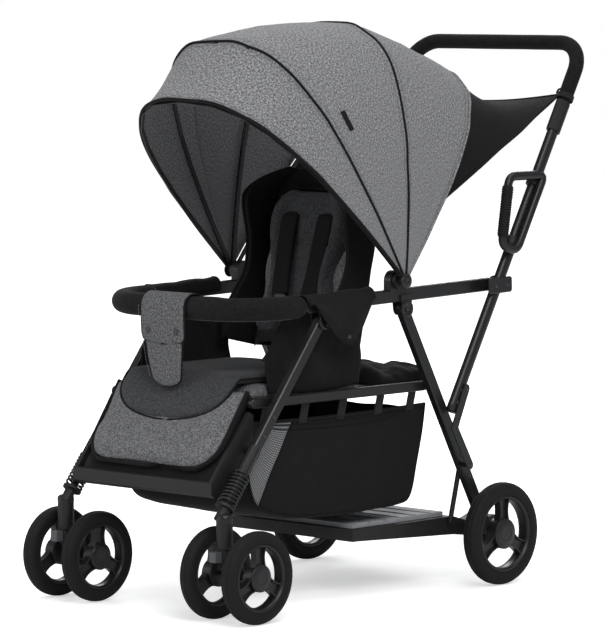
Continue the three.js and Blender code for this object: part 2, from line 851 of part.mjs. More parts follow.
// The backrest's cloth has a wing on each side: heights up the back and reaches forward of it.
const wing = [
  [56, backThickness],
  [58, 86],
  [116, 96],
  [225, 62],
  [330, 78],
  [338, backThickness],
];
const backCloth = backHalfWidth + 26;
add('backrest_cushion', onBack(join(
  softSlab({
    halfWidth: backCloth,
    length: backLength - 2 * backBase - 24,
    thickness: cushionThickness,
    crown: 12,
    channels: 3,
    draw: 9,
    steps: 9,
  }).translate(0, 2 * backBase + 24, backThickness / 2 + gap),
  ...sides.map(([, s]) => plate(polygon(wing), s * (backCloth - 2 * wallThickness), wallThickness)),
)), 'cloth');

// Rear bench
add('bench_seat', join(
  block(-boardHalfWidth, boardHalfWidth, benchFront, benchRear, railPivot[1],
    railPivot[1] + benchThickness / 2),
  softSlab({
    halfWidth: boardHalfWidth,
    length: benchRear - benchFront,
    thickness: benchThickness,
    crown: 8,
    channels: 0,
    draw: 3,
    cross: 8,
    steps: 8,
  }).translate(0, benchFront, railPivot[1] + benchThickness / 2 - gap),
  block(
    -(railX - railThickness / 2 - gap),
    railX - railThickness / 2 - gap,
    railRear - railHeight / 2,
    railRear,
    railPivot[1],
    railPivot[1] + boardThickness,
  ),
), 'blackCloth');

// Basket: an open cloth tray under the seat rails.
const basketOuter = polygon([
  [basketFront, basketTop],
  [basketFront + basketToe, basketBottom + basketToeRise],
  [basketFront + basketFloorStart, basketBottom],
  [basketRear - basketHeel, basketBottom],
  [basketRear, basketTop],
]);
const basketInner = polygon([
  [basketFront + basketWall, basketTop + overrun],
  [basketFront + basketToe + basketWall, basketBottom + basketToeRise + basketWall],
  [basketFront + basketFloorStart, basketBottom + basketWall],
  [basketRear - basketHeel - basketWall, basketBottom + basketWall],
  [basketRear - basketWall, basketTop + overrun],
]);
// Cloth tabs carry it from the underside of the rails.
const tabWidth = 36;
const tabInset = 30;
const railUnderside = railPivot[1] - railHeight / 2 - pinPlay;
const tabs = sides.flatMap(([, s]) => [
  basketFront + tabInset,
  basketRear - tabInset - tabWidth,
].map((y) => join(
  block(...span(s, basketHalfWidth - basketWall, basketHalfWidth), y, y + tabWidth,
    basketTop - tabWidth, railUnderside),
  block(...span(s, basketHalfWidth - basketWall, railX), y, y + tabWidth,
    railUnderside - basketWall, railUnderside),
)));
add('basket', join(
  cut(
    plate(basketOuter, 0, 2 * basketHalfWidth),
    plate(basketInner, 0, 2 * (basketHalfWidth - basketWall)),
  ),
  ...tabs,
), 'blackCloth');

// Flips a geometry that came out inside out.
function outward(geometry) {
  const p = geometry.attributes.position.array;
  let volume = 0;
  for (let i = 0; i < p.length; i += 9) {
    const a = new THREE.Vector3(...p.slice(i, i + 3));
    const b = new THREE.Vector3(...p.slice(i + 3, i + 6));
    const c = new THREE.Vector3(...p.slice(i + 6, i + 9));
    volume += a.dot(b.cross(c));
  }
  if (volume > 0) return geometry;
  return mirrored(geometry.scale(-1, 1, 1), -1);
}

// A closed solid from a net of outer points and a matching net of inner points.
function shell(outer, inner) {
  const positions = [];
  const put = (...points) => points.forEach((v) => positions.push(v.x, v.y, v.z));
  const quad = (a, b, c, d) => put(a, b, c, a, c, d);
  const m = outer.length - 1;
  const n = outer[0].length - 1;
  for (let i = 0; i < m; i += 1) {
    for (let j = 0; j < n; j += 1) {
      quad(outer[i][j], outer[i + 1][j], outer[i + 1][j + 1], outer[i][j + 1]);
      quad(inner[i][j], inner[i][j + 1], inner[i + 1][j + 1], inner[i + 1][j]);
    }
  }
  for (let i = 0; i < m; i += 1) {
    quad(outer[i + 1][0], outer[i][0], inner[i][0], inner[i + 1][0]);
    quad(outer[i][n], outer[i + 1][n], inner[i + 1][n], inner[i][n]);
  }
  for (let j = 0; j < n; j += 1) {
    quad(outer[0][j], outer[0][j + 1], inner[0][j + 1], inner[0][j]);
    quad(outer[m][j + 1], outer[m][j], inner[m][j], inner[m][j + 1]);
  }
  const geometry = new THREE.BufferGeometry();
  geometry.setAttribute('position', new THREE.Float32BufferAttribute(positions, 3));
  return outward(geometry);
}

// A ring section carried along bent points that lie in one plane with the given normal.
function sweep(points, ring, normal, hole = null) {
  const frames = points.map((p, i) => {
    const back = p.clone().sub(points[Math.max(i - 1, 0)]);
    const ahead = points[Math.min(i + 1, points.length - 1)].clone().sub(p);
    const first = (i > 0 ? back : ahead).normalize();
    const second = (i < points.length - 1 ? ahead : back).normalize();
    const direction = first.clone().add(second).normalize();
    const side = new THREE.Vector3().crossVectors(direction, normal).normalize();
    const stretch = 1 / first.dot(direction);
    return ([a, b]) => p.clone().addScaledVector(side, a * stretch).addScaledVector(normal, b);
  });
  const net = (section) => frames.map((frame) => section.map(frame));
  const outer = net(ring);
  const inner = hole ? net(hole) : null;
  const positions = [];
  const put = (...list) => list.forEach((v) => positions.push(v.x, v.y, v.z));
  const quad = (a, b, c, d) => put(a, b, c, a, c, d);
  const count = ring.length;
  const end = frames.length - 1;
  for (let k = 0; k < count; k += 1) {
    const next = (k + 1) % count;
    for (let i = 0; i < end; i += 1) {
      quad(outer[i][k], outer[i + 1][k], outer[i + 1][next], outer[i][next]);
      if (inner) quad(inner[i][next], inner[i + 1][next], inner[i + 1][k], inner[i][k]);
    }
    if (inner) {
      quad(inner[0][k], outer[0][k], outer[0][next], inner[0][next]);
      quad(inner[end][next], outer[end][next], outer[end][k], inner[end][k]);
    } else if (k > 0 && k < count - 1) {
      put(outer[0][0], outer[0][k], outer[0][next]);
      put(outer[end][0], outer[end][next], outer[end][k]);
    }
  }
  const geometry = new THREE.BufferGeometry();
  geometry.setAttribute('position', new THREE.Float32BufferAttribute(positions, 3));
  return outward(geometry);
}

function oval(halfWidth, halfDepth, count = 10) {
  return Array.from({ length: count }, (_, i) => {
    const a = (i + 0.5) / count * 2 * Math.PI;
    return [halfWidth * Math.cos(a), halfDepth * Math.sin(a)];
  });
}

// Handle: one bent tube, a foam sleeve with its end collars, and a grab handle on each side.
const handleUp = heading(handlePivot, handleTop);
const upHandle = (start, length) => [
  start[0] + handleUp[0] * length,
  start[1] + handleUp[1] * length,
];
const handleNormal = new THREE.Vector3(0, -handleUp[1], handleUp[0]);
const bendSteps = 5;
function handlePoints(low) {
  const corner = upHandle(handleTop, -handleBendRadius);
  const half = [new THREE.Vector3(handleX, ...low)];
  for (let i = 0; i <= bendSteps; i += 1) {
    const a = i / bendSteps * Math.PI / 2;
    half.push(new THREE.Vector3(
      handleX - handleBendRadius * (1 - Math.cos(a)),
      ...upHandle(corner, handleBendRadius * Math.sin(a)),
    ));
  }
  const other = half.map((p) => new THREE.Vector3(-p.x, p.y, p.z)).reverse();
  return [...half, ...other];
}
const tubeRing = oval(handleTubeHalfWidth, handleTubeHalfDepth);
const tubeBore = oval(handleTubeHalfWidth + gap, handleTubeHalfDepth + gap);
const handleBossRadius = 8;
const bossStart = legX + legThickness / 2 + pinPlay;
add('handle_tube', join(
  sweep(handlePoints(handleLow), tubeRing, handleNormal),
  ...sides.map(([, s]) => rod(
    handlePivot,
    s * (bossStart + handleX) / 2,
    handleBossRadius,
    handleX - bossStart,
  )),
), 'frame');
const foamLow = upHandle(handleTop, -handleBendRadius - foamReach);
add('handle_foam', sweep(handlePoints(foamLow), oval(foamRadius, foamRadius), handleNormal,
  tubeBore), 'foam');

// Each side's collar closes the foam's end.
const collarLow = upHandle(foamLow, -connectorLength);
const straight = ([y0, z0], [y1, z1], x) => [
  new THREE.Vector3(x, y0, z0),
  new THREE.Vector3(x, y1, z1),
];
const collar = sweep(
  straight(collarLow, upHandle(foamLow, -gap), handleX),
  oval(connectorRadius - 1, connectorRadius + 1.5),
  handleNormal,
  tubeBore,
);
for (const [side, s] of sides) add(`handle_collar_${side}`, mirrored(collar, s), 'plastic');

// Grab handle: a closed loop outside the tube, held by a clamp at each end of its rear side.
const grabLow = upHandle(handlePivot, grabStart);
const grabHigh = upHandle(handlePivot, grabEnd);
const grabWidth = 16;
const grabX = handleX + handleTubeHalfWidth + grabWidth / 2 + gap;
const grabCornerRadius = 16;
const grabCorners = [
  grabLow,
  [grabLow[0] - grabLowReach, grabLow[1] + grabLowRise],
  [grabHigh[0] - grabTopReach, grabHigh[1]],
  grabHigh,
];
const loopStart = between(grabHigh, grabLow, 0.5);
const loopCorners = [loopStart];
grabCorners.forEach((corner, i) => {
  const before = i ? grabCorners[i - 1] : loopStart;
  const after = i < grabCorners.length - 1 ? grabCorners[i + 1] : loopStart;
  const into = heading(before, corner);
  const out = heading(corner, after);
  loopCorners.push(
    [corner[0] - into[0] * grabCornerRadius, corner[1] - into[1] * grabCornerRadius],
    [corner[0] + out[0] * grabCornerRadius, corner[1] + out[1] * grabCornerRadius],
  );
});
loopCorners.push(between(loopStart, grabLow, 0.1));
const gripStart = between(grabCorners[1], grabCorners[2], 0.16);
const gripEnd = between(grabCorners[1], grabCorners[2], 0.84);
const clampWall = 4;
const clampAround = (middle) => sweep(
  straight(upHandle(middle, -grabClampLength / 2), upHandle(middle, grabClampLength / 2), handleX),
  oval(handleTubeHalfWidth + clampWall, handleTubeHalfDepth + clampWall, 8),
  handleNormal,
);
const clampLow = upHandle(grabLow, grabCornerRadius);
const clampHigh = upHandle(grabHigh, -grabCornerRadius);
const grab = cut(
  join(
    sweep(loopCorners.map(([y, z]) => new THREE.Vector3(grabX, y, z)),
      oval(grabWidth / 2, grabTubeRadius, 6), new THREE.Vector3(1, 0, 0)),
    sweep(straight(gripStart, gripEnd, grabX), oval(grabGripRadius, grabGripRadius, 8),
      new THREE.Vector3(1, 0, 0)),
    clampAround(clampLow),
    clampAround(clampHigh),
  ),
  sweep(straight(upHandle(grabLow, -60), upHandle(grabHigh, 60), handleX), tubeBore, handleNormal),
);
for (const [side, s] of sides) add(`grab_handle_${side}`, mirrored(grab, s), 'rubber');

// Bent link between the handle tube and the rear leg
const linkPinRadius = 5;
function spacer(point, innerX, outerX) {
  const start = innerX + pinPlay;
  return rod(point, (start + outerX) / 2, linkPinRadius, outerX - start);
}
const link = join(
  plate(barShape(linkTop, linkElbow, linkWidth), linkX, linkThickness),
  plate(barShape(linkElbow, linkLow, linkWidth), linkX, linkThickness),
  spacer(linkTop, handleX + handleTubeHalfWidth, linkX),
  spacer(linkLow, legX + legThickness / 2, linkX),
);
for (const [side, s] of sides) add(`fold_link_${side}`, mirrored(link, s), 'frame');

// Canopy: two turning hubs on the armrests carry four bows, each on its own layer.
const hubInner = legX + legThickness / 2 + gap;
const hubOuter = bowHalfWidth - bowThickness / 2 - gap;
const capInner = bowHalfWidth + 3 * bowPitch + bowThickness / 2 + gap;
const capThickness = 3;
const eyeRadius = 8;
const eyePin = 3.5;
const hub = join(
  rod(hubCentre, (hubInner + hubOuter) / 2, hubRadius - 3, hubOuter - hubInner, 18),
  rod(hubCentre, legX + overrun, hubPinRadius, legThickness),
  rod(hubCentre, (hubInner + capInner) / 2 + overrun, eyePin, capInner - hubInner, 12),
  rod(hubCentre, capInner + capThickness / 2, eyeRadius + 1, capThickness, 16),
);
for (const [side, s] of sides) add(`canopy_hub_${side}`, mirrored(hub, s), 'plastic');

// A point of an arch over the hubs: t runs from 0 at the left hub to 1 at the right one.
function archPoint(t, angle, height, halfWidth, lift = 0) {
  const turnShare = t * Math.PI;
  const c = Math.cos(turnShare);
  const s = Math.sin(turnShare);
  const x = halfWidth * Math.sign(c) * Math.pow(Math.abs(c), bowRoundnessShare)
    * (1 + bowSwellShare * s * s);
  const reach = (height + lift) * Math.pow(s, bowRoundnessShare);
  return new THREE.Vector3(
    x,
    hubCentre[0] - reach * Math.cos(rad(angle)),
    hubCentre[1] + reach * Math.sin(rad(angle)),
  );
}
const archSteps = 22;
const archStart = 0.0012;
for (const bow of bows) {
  const halfWidth = bowHalfWidth + bow.step * bowPitch;
  const points = [];
  for (let i = 0; i <= archSteps; i += 1) {
    const share = (1 - Math.cos(i / archSteps * Math.PI)) / 2;
    points.push(archPoint(archStart + (1 - 2 * archStart) * share, bow.angle, bow.height,
      halfWidth));
  }
  const a = rad(bow.angle);
  const normal = new THREE.Vector3(0, Math.sin(a), Math.cos(a));
  const b = bowBreadth / 2;
  const t = bowThickness / 2;
  const strip = sweep(points, [[-t, -b], [t, -b], [t, b], [-t, b]], normal);
  const eyes = sides.map(([, s]) => rod(hubCentre, s * halfWidth, eyeRadius, bowThickness, 16));
  const holes = sides.map(([, s]) => rod(hubCentre, s * halfWidth, eyePin + pinPlay,
    bowThickness + overrun, 12));
  add(bow.name, cut(join(strip, ...eyes), ...holes), 'plastic');
}

// Canopy cloth: one panel between each two bows, outside them, drawn in between.
const clothHalfWidth = bowHalfWidth + 3 * bowPitch + bowThickness / 2 + gap + 1;
const clothFrom = 0.05;
function panel(a, b, across, round, inset = 0) {
  const net = (lift) => Array.from({ length: round + 1 }, (_, i) => {
    const t = clothFrom + (1 - 2 * clothFrom) * i / round;
    return Array.from({ length: across + 1 }, (__, j) => {
      const v = j / across;
      const angle = a.angle - inset + (b.angle - a.angle + 2 * inset) * v;
      const height = a.height + (b.height - a.height) * v;
      const sag = clothSag * Math.sin(Math.PI * v) * Math.sin(Math.PI * t);
      return archPoint(t, angle, height, clothHalfWidth + lift, bowThickness + gap + lift - sag);
    });
  });
  return shell(net(clothThickness), net(0));
}
const seam = 0.4;
const panelNames = ['canopy_rear_panel', 'canopy_front_panel', 'canopy_visor_panel'];
panelNames.forEach((name, i) => {
  add(name, panel(bows[i], bows[i + 1], 5, 18, seam), 'cloth');
});

// Rear shade: cloth from the rear bow back to a line between the handle's tubes.
const shadeClipRise = 16;
const shadeLow = upHandle(foamLow, shadeClipRise);
const shadeShare = 0.1;
const shadeHalfWidth = handleX - foamRadius + gap;
const rearBow = bows[0];
const shadeNet = (offset) => Array.from({ length: 11 }, (_, i) => {
  const u = i / 10;
  const top = archPoint(shadeShare + (1 - 2 * shadeShare) * u, rearBow.angle + 1.6,
    rearBow.height, bowHalfWidth - bowThickness, -bowThickness);
  const low = new THREE.Vector3(shadeHalfWidth * (1 - 2 * u), ...shadeLow);
  return Array.from({ length: 5 }, (__, j) => {
    const v = j / 4;
    const p = top.clone().lerp(low, v);
    p.z += offset - clothSag * Math.sin(Math.PI * v);
    return p;
  });
});
add('rear_shade', shell(shadeNet(clothThickness), shadeNet(0)), 'blackCloth');

// Bumper: a padded bar round the front of the seat, with a cloth flap hanging from it.
const bumperStart = armrestFront[0] - armrestHeight / 2 - gap;
const bumperCorner = bumperFront + bumperBend;
const bumperInset = 6;
const bumperX = legX - bumperInset;
const bumperSlope = (bumperRise - armrestFront[1]) / (bumperStart - bumperFront);
const bumperZ = (y) => armrestFront[1] + (bumperStart - y) * bumperSlope;
const bumperHalf = [new THREE.Vector3(bumperX, bumperStart, armrestFront[1])];
for (let i = 0; i <= bendSteps; i += 1) {
  const a = i / bendSteps * Math.PI / 2;
  const y = bumperCorner - bumperBend * Math.sin(a);
  bumperHalf.push(new THREE.Vector3(bumperX - bumperBend * (1 - Math.cos(a)), y, bumperZ(y)));
}
const bumperPoints = [
  ...bumperHalf,
  ...bumperHalf.map((p) => new THREE.Vector3(-p.x, p.y, p.z)).reverse(),
];
const bumperNormal = new THREE.Vector3(0, bumperSlope, 1).normalize();
const flapTop = bumperRise;
const flapLength = 144;
const flapLow = flapTop - flapLength;
const flapShoulder = 78;
const flapHalfWidth = 54;
const flapTongueHalfWidth = 22;
const flapThickness = 4;
const flapFront = bumperFront - bumperRadius;
const flapShape = new THREE.Shape();
flapShape.moveTo(-flapHalfWidth, flapTop);
flapShape.lineTo(-flapHalfWidth, flapTop - flapShoulder);
flapShape.lineTo(-flapTongueHalfWidth, flapLow);
flapShape.lineTo(flapTongueHalfWidth, flapLow);
flapShape.lineTo(flapHalfWidth, flapTop - flapShoulder);
flapShape.lineTo(flapHalfWidth, flapTop);
flapShape.closePath();
const flap = new THREE.ExtrudeGeometry(flapShape, { depth: flapThickness, bevelEnabled: false })
  .rotateX(Math.PI / 2)
  .translate(0, flapFront + flapThickness, 0);
add('bumper_bar', join(
  sweep(bumperPoints, oval(bumperRadius, bumperRadius, 12), bumperNormal),
  flap,
), 'foam');

// Harness: two shoulder straps that meet at the buckle, lying on the backrest's cushion.
const strapWidth = 34;
const strapThickness = 3;
const strapX = 44;
const strapTopGap = 40;
const strapTop = backLength - strapTopGap;
const strapLow = 96;
const strapClear = 12;
const strapLift = backThickness / 2 + gap + cushionThickness * 0.45 + strapClear + gap;
const buckleHeight = 46;
add('harness', onBack(join(
  ...sides.map(([, s]) => block(
    s * strapX - strapWidth / 2,
    s * strapX + strapWidth / 2,
    strapLow,
    strapTop,
    strapLift,
    strapLift + strapThickness,
  )),
  block(
    -strapX - strapWidth / 2,
    strapX + strapWidth / 2,
    strapLow - buckleHeight / 2,
    strapLow + buckleHeight / 2,
    strapLift,
    strapLift + 2 * strapThickness,
  ),
)), 'blackCloth');

// The part's origin is the middle of its length, on the floor.
const whole = new THREE.Box3().setFromObject(group);
export const lengthMiddle = (whole.min.y + whole.max.y) / 2;
group.position.y = -lengthMiddle;
group.updateMatrixWorld(true);

export default group;
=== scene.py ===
"""A sit-and-stand tandem stroller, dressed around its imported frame.

Every size is in metres in the frame's own axes: +Z up, the front towards -Y, the left
side towards +X. The side plane's own Y starts at the rear axle, as place() takes it.
"""

import math

import bmesh
import bpy
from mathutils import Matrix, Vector, noise


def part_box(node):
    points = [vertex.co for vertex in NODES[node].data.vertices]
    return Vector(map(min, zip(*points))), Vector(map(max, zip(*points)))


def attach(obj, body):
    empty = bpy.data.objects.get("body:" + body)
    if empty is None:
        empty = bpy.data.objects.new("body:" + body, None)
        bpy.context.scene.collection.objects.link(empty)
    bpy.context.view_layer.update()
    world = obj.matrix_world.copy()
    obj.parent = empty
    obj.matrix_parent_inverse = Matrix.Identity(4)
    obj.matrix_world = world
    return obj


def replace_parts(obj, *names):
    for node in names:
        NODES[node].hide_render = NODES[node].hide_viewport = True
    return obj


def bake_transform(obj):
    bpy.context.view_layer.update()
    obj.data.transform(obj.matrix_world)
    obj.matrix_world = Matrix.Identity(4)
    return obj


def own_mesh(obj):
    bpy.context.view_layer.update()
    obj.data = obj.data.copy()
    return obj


bl_info = {
    "name": "Tandem Stroller Dressing",
    "version": (1, 0, 0),
    "blender": (4, 5, 0),
    "location": "View3D > Sidebar > Stroller",
    "description": "Dresses a packed tandem stroller frame with cloth, foam, trim and finishes",
    "category": "Object",
}

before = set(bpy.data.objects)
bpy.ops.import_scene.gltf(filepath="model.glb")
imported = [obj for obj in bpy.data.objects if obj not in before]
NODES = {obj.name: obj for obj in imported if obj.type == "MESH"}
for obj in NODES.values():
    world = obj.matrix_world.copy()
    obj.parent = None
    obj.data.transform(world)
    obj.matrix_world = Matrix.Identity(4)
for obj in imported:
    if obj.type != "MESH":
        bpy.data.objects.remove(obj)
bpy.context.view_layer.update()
SIDES = (("left", 1), ("right", -1))
X_AXIS, Y_AXIS, Z_AXIS = Vector((1, 0, 0)), Vector((0, 1, 0)), Vector((0, 0, 1))


def middle(node):
    """The middle of a node's box at rest."""
    low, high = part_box(node)
    return (low + high) / 2


AXLE_Y = middle("rear_axle").y


def place(x, y, z):
    """A point in millimetres, with Y counted from the rear axle, as a vector in metres."""
    return Vector((x / 1000, y / 1000 + AXLE_Y, z / 1000))


# Meshes


def add_object(name, data):
    """Puts some data in the scene as an object."""
    made = bpy.data.objects.new(name, data)
    bpy.context.scene.collection.objects.link(made)
    return made


def new_object(name, bm, body, material, slot):
    """Turns a bmesh into a piece that rides on a body and wears the named finish."""
    mesh = bpy.data.meshes.new(name)
    bm.to_mesh(mesh)
    bm.free()
    return dress(add_object(name, mesh), body, material, slot)


def dress(piece, body, material, slot):
    """Gives a piece its finish, smooth shading and body; the slot is not used. No body: it is left
    unattached.
    """
    piece.data.materials.clear()
    piece.data.materials.append(finish(material))
    for polygon in piece.data.polygons:
        polygon.use_smooth = True
    if body:
        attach(piece, body)
    return piece


def soften(piece, width, angle):
    """Rounds the hard edges, then keeps flat faces flat."""
    bevel = piece.modifiers.new("edges", "BEVEL")
    bevel.width = width
    bevel.segments = 2
    bevel.limit_method = "ANGLE"
    bevel.angle_limit = math.radians(angle)
    bevel.harden_normals = True


def subdivide(piece):
    subsurf = piece.modifiers.new("smooth", "SUBSURF")
    subsurf.levels = subsurf.render_levels = 1


def evaluated_mesh(piece):
    """The mesh that an object's modifiers make."""
    bpy.context.view_layer.update()
    graph = bpy.context.evaluated_depsgraph_get()
    return bpy.data.meshes.new_from_object(piece.evaluated_get(graph))


def bake(piece):
    """Applies every modifier, so the mesh holds the final shape."""
    mesh = evaluated_mesh(piece)
    piece.modifiers.clear()
    old = piece.data
    piece.data = mesh
    mesh.name = old.name
    bpy.data.meshes.remove(old)
    return piece


WELD_DISTANCE = 1e-6
PARALLEL = 1e-6


def face_outwards(bm):
    bmesh.ops.remove_doubles(bm, verts=bm.verts, dist=WELD_DISTANCE)
    bmesh.ops.recalc_face_normals(bm, faces=bm.faces)


def running_lengths(path):
    """The distance along a path at each of its points."""
    lengths = [0.0]
    for a, b in zip(path, path[1:]):
        lengths.append(lengths[-1] + (b - a).length)
    return lengths


def add_net(bm, net, close_rows=False, close_columns=False, uv=True):
    """Quads over rows of points. The UV map runs in metres along both ways of the net."""
    rows = [[bm.verts.new(p) for p in row] for row in net]
    layer = bm.loops.layers.uv.verify() if uv else None
    height, width = len(rows), len(rows[0])
    across = running_lengths(net[height // 2])
    along = running_lengths([row[width // 2] for row in net])
    across.append(2 * across[-1] - across[-2])
    along.append(2 * along[-1] - along[-2])
    for i in range(height if close_rows else height - 1):
        for j in range(width if close_columns else width - 1):
            corners = ((i, j), (i, j + 1), (i + 1, j + 1), (i + 1, j))
            verts = [rows[a % height][b % width] for a, b in corners]
            if len(set(verts)) < 4:
                continue
            face = bm.faces.new(verts)
            if uv:
                for loop, (a, b) in zip(face.loops, corners):
                    loop[layer].uv = (across[b], along[a])
    return rows


def add_rings(bm, rings, uv=True):
    """A skin over a row of rings, closed at both ends."""
    rows = add_net(bm, rings, close_columns=True, uv=uv)
    cap(bm, rows[0])
    cap(bm, rows[-1])


def oval(centre, across, over, width, height, sides):
    """A ring of points, given half its width and half its height."""
    return [centre + across * width * math.cos(a) + over * height * math.sin(a)
            for a in (2 * math.pi * k / sides for k in range(sides))]


def cap(bm, ring):
    """Closes a ring of vertices with a fan round its middle."""
    centre = bm.verts.new(sum((v.co for v in ring), Vector()) / len(ring))
    for a, b in zip(ring, ring[1:] + ring[:1]):
        bm.faces.new((a, b, centre))


def tube(bm, path, radius, sides, up):
    """A tube along a path. The radius may be a list with one value for each point."""
    count = len(path)
    radii = radius if isinstance(radius, list) else [radius] * count
    rings = []
    for i, point in enumerate(path):
        ahead = path[min(i + 1, count - 1)] - path[max(i - 1, 0)]
        ahead.normalize()
        side = up - ahead * up.dot(ahead)
        if side.length < PARALLEL:
            side = ahead.orthogonal()
        side.normalize()
        rings.append(oval(point, side, ahead.cross(side), radii[i], radii[i], sides))
    add_rings(bm, rings)


def tube_piece(name, paths, radius, sides, up, body, material="binding", slot="black_cloth"):
    """A piece made of a tube along each path."""
    bm = bmesh.new()
    for path in paths:
        tube(bm, path, radius, sides, up)
    face_outwards(bm)
    return new_object(name, bm, body, material, slot)


def uneven(path, radius, end, step, swell, scale, seed):
    """Radii for a foam skin: uneven, and tucked in over the first points of each end."""
    last = len(path) - 1
    return [radius * min(1.0, end + step * min(i, last - i))
            * (1 + swell * wobble(p, scale, seed)) for i, p in enumerate(path)]


def strap(bm, path, width, thickness, across):
    """A flat band along a path, with soft corners, its width lying along `across`."""
    w, t = width / 2, thickness / 2
    section = [(-w, 0), (-w * 0.94, -t), (-w * 0.5, -t), (0, -t), (w * 0.5, -t), (w * 0.94, -t),
               (w, 0), (w * 0.94, t), (w * 0.5, t), (0, t), (-w * 0.5, t), (-w * 0.94, t)]
    rings = []
    count = len(path)
    for i, point in enumerate(path):
        ahead = (path[min(i + 1, count - 1)] - path[max(i - 1, 0)]).normalized()
        side = (across - ahead * across.dot(ahead)).normalized()
        over = side.cross(ahead)
        rings.append([point + side * a + over * b for a, b in section])
    add_rings(bm, rings)


def turned(bm, profile, centre, steps):
    """A profile of (radius, offset) points turned round an axis along X."""
    net = []
    for k in range(steps):
        a = 2 * math.pi * k / steps
        net.append([
            centre + Vector((offset, radius * math.cos(a), radius * math.sin(a)))
            for radius, offset in profile
        ])
    add_net(bm, net, close_rows=True, close_columns=True)


def smooth_path(points, per_span):
    """A Catmull-Rom curve through the points."""
    pts = [Vector(p) for p in points]
    count = len(pts)
    path = []
    for i in range(count - 1):
        b, c = pts[i], pts[i + 1]
        a = pts[i - 1] if i else b * 2 - c
        d = pts[i + 2] if i + 2 < count else c * 2 - b
        for k in range(per_span):
            t = k / per_span
            path.append(0.5 * ((2 * b) + (c - a) * t + (2 * a - 5 * b + 4 * c - d) * t * t
                               + (3 * b - a - 3 * c + d) * t * t * t))
    path.append(pts[-1])
    return path


def resample(path, spacing):
    """The same path with points at an even spacing."""
    lengths = running_lengths(path)
    count = max(2, round(lengths[-1] / spacing))
    out, j = [], 0
    for i in range(count + 1):
        want = lengths[-1] * i / count
        while j < len(path) - 2 and lengths[j + 1] < want:
            j += 1
        span = max(lengths[j + 1] - lengths[j], 1e-9)
        out.append(path[j].lerp(path[j + 1], min(1, (want - lengths[j]) / span)))
    return out


def wobble(point, scale, seed):
    """Smooth noise between -1 and 1, for folds and slack in cloth."""
    return noise.noise(point * scale + Vector((seed, seed * 1.7, seed * 0.6)))


# Cloth and pads


def thicken(piece, thickness, offset):
    """Gives cloth its thickness: behind its net at -1, on both sides of it at 0."""
    solid = piece.modifiers.new("cloth", "SOLIDIFY")
    solid.thickness = thickness
    solid.offset = offset
    return bake(piece)


def cloth(name, net, body, material, slot, thickness, offset=0, outwards_from=None):
    """A thin cloth over a net of points."""
    bm = bmesh.new()
    add_net(bm, net)
    bmesh.ops.recalc_face_normals(bm, faces=bm.faces)
    if outwards_from is not None:
        for face in bm.faces:
            if face.normal.dot(face.calc_center_median() - outwards_from) < 0:
                face.normal_flip()
    return thicken(new_object(name, bm, body, material, slot), thickness, offset)


def join_skins(bm, front, back):
    """A front net and a back net, and a wall that joins their edges."""
    rims = []
    for net in (front, back):
        rows = add_net(bm, net, uv=False)
        rims.append(rows[0] + [r[-1] for r in rows[1:]] + rows[-1][-2::-1]
                    + [r[0] for r in rows[-2:0:-1]])
    top, low = rims
    for k in range(len(top)):
        n = (k + 1) % len(top)
        bm.faces.new((top[k], top[n], low[n], low[k]))
    face_outwards(bm)


def pad_surface(to_world, width_at, length, depth_at, back_at, across, along):
    """A closed pad between a front and a back net.

    width_at(v) is half the width at a share v of the length; depth_at(u, v) and
    back_at(u, v) are the front's and the back's distance from the pad's plane.
    """
    nets = []
    for away in (depth_at, back_at):
        net = []
        for j in range(along + 1):
            v = j / along
            net.append([to_world(u * width_at(v), v * length, away(u, v))
                        for u in (2 * i / across - 1 for i in range(across + 1))])
        nets.append(net)
    bm = bmesh.new()
    join_skins(bm, *nets)
    return bm


SWELL_FRAMES = 18


def puff(piece, voxel, pressure, reach):
    """Swells a closed pad with a short cloth simulation, no point moving past its reach."""
    remesh = piece.modifiers.new("voxels", "REMESH")
    remesh.mode = "VOXEL"
    remesh.voxel_size = voxel
    bake(piece)
    before = [v.co.copy() for v in piece.data.vertices]
    swell = piece.modifiers.new("swell", "CLOTH")
    swell.settings.use_pressure = True
    swell.settings.uniform_pressure_force = pressure
    swell.settings.tension_stiffness = 12
    swell.settings.compression_stiffness = 12
    swell.settings.bending_stiffness = 0.4
    swell.settings.quality = 5
    swell.settings.effector_weights.gravity = 0
    swell.point_cache.frame_end = SWELL_FRAMES
    for number in range(1, SWELL_FRAMES + 1):
        bpy.context.scene.frame_set(number)
    bake(piece)
    bpy.context.scene.frame_set(1)
    for vertex, start in zip(piece.data.vertices, before):
        moved = vertex.co - start
        if moved.length > reach:
            vertex.co = start + moved * (reach / moved.length)


def pad_piece(name, bm, body, looks, swell, replaced=None, shape=None):
    """A swollen pad. looks are its finish and a slot that is not used, swell its voxel, pressure
    and reach.
    """
    piece = new_object(name, bm, None, *looks)
    puff(piece, *swell)
    subdivide(piece)
    if shape:
        shape(piece)
    dress(piece, body, *looks)
    if replaced:
        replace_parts(piece, replaced)


def rounded(u, power):
    """1 in the middle, falling to 0 at -1 and 1; the higher the power, the later."""
    return max(0.0, 1 - abs(u) ** power) ** 0.5


def edges_down(count):
    """(side, share) pairs: down one edge of a pad and up the other."""
    return ([(-1, k / count) for k in range(count + 1)]
            + [(1, 1 - k / count) for k in range(count + 1)])


# Finishes


class Nodes:
    """Adds nodes to a tree. An input takes a value or another node's output."""

    def __init__(self, tree):
        self.tree = tree

    def set(self, node, values):
        for key, value in values.items():
            if isinstance(value, bpy.types.NodeSocket):
                self.tree.links.new(value, node.inputs[key])
            else:
                node.inputs[key].default_value = value
        return node

    def node(self, kind, values=None, **options):
        node = self.tree.nodes.new(kind)
        for key, value in options.items():
            setattr(node, key, value)
        return self.set(node, values or {})


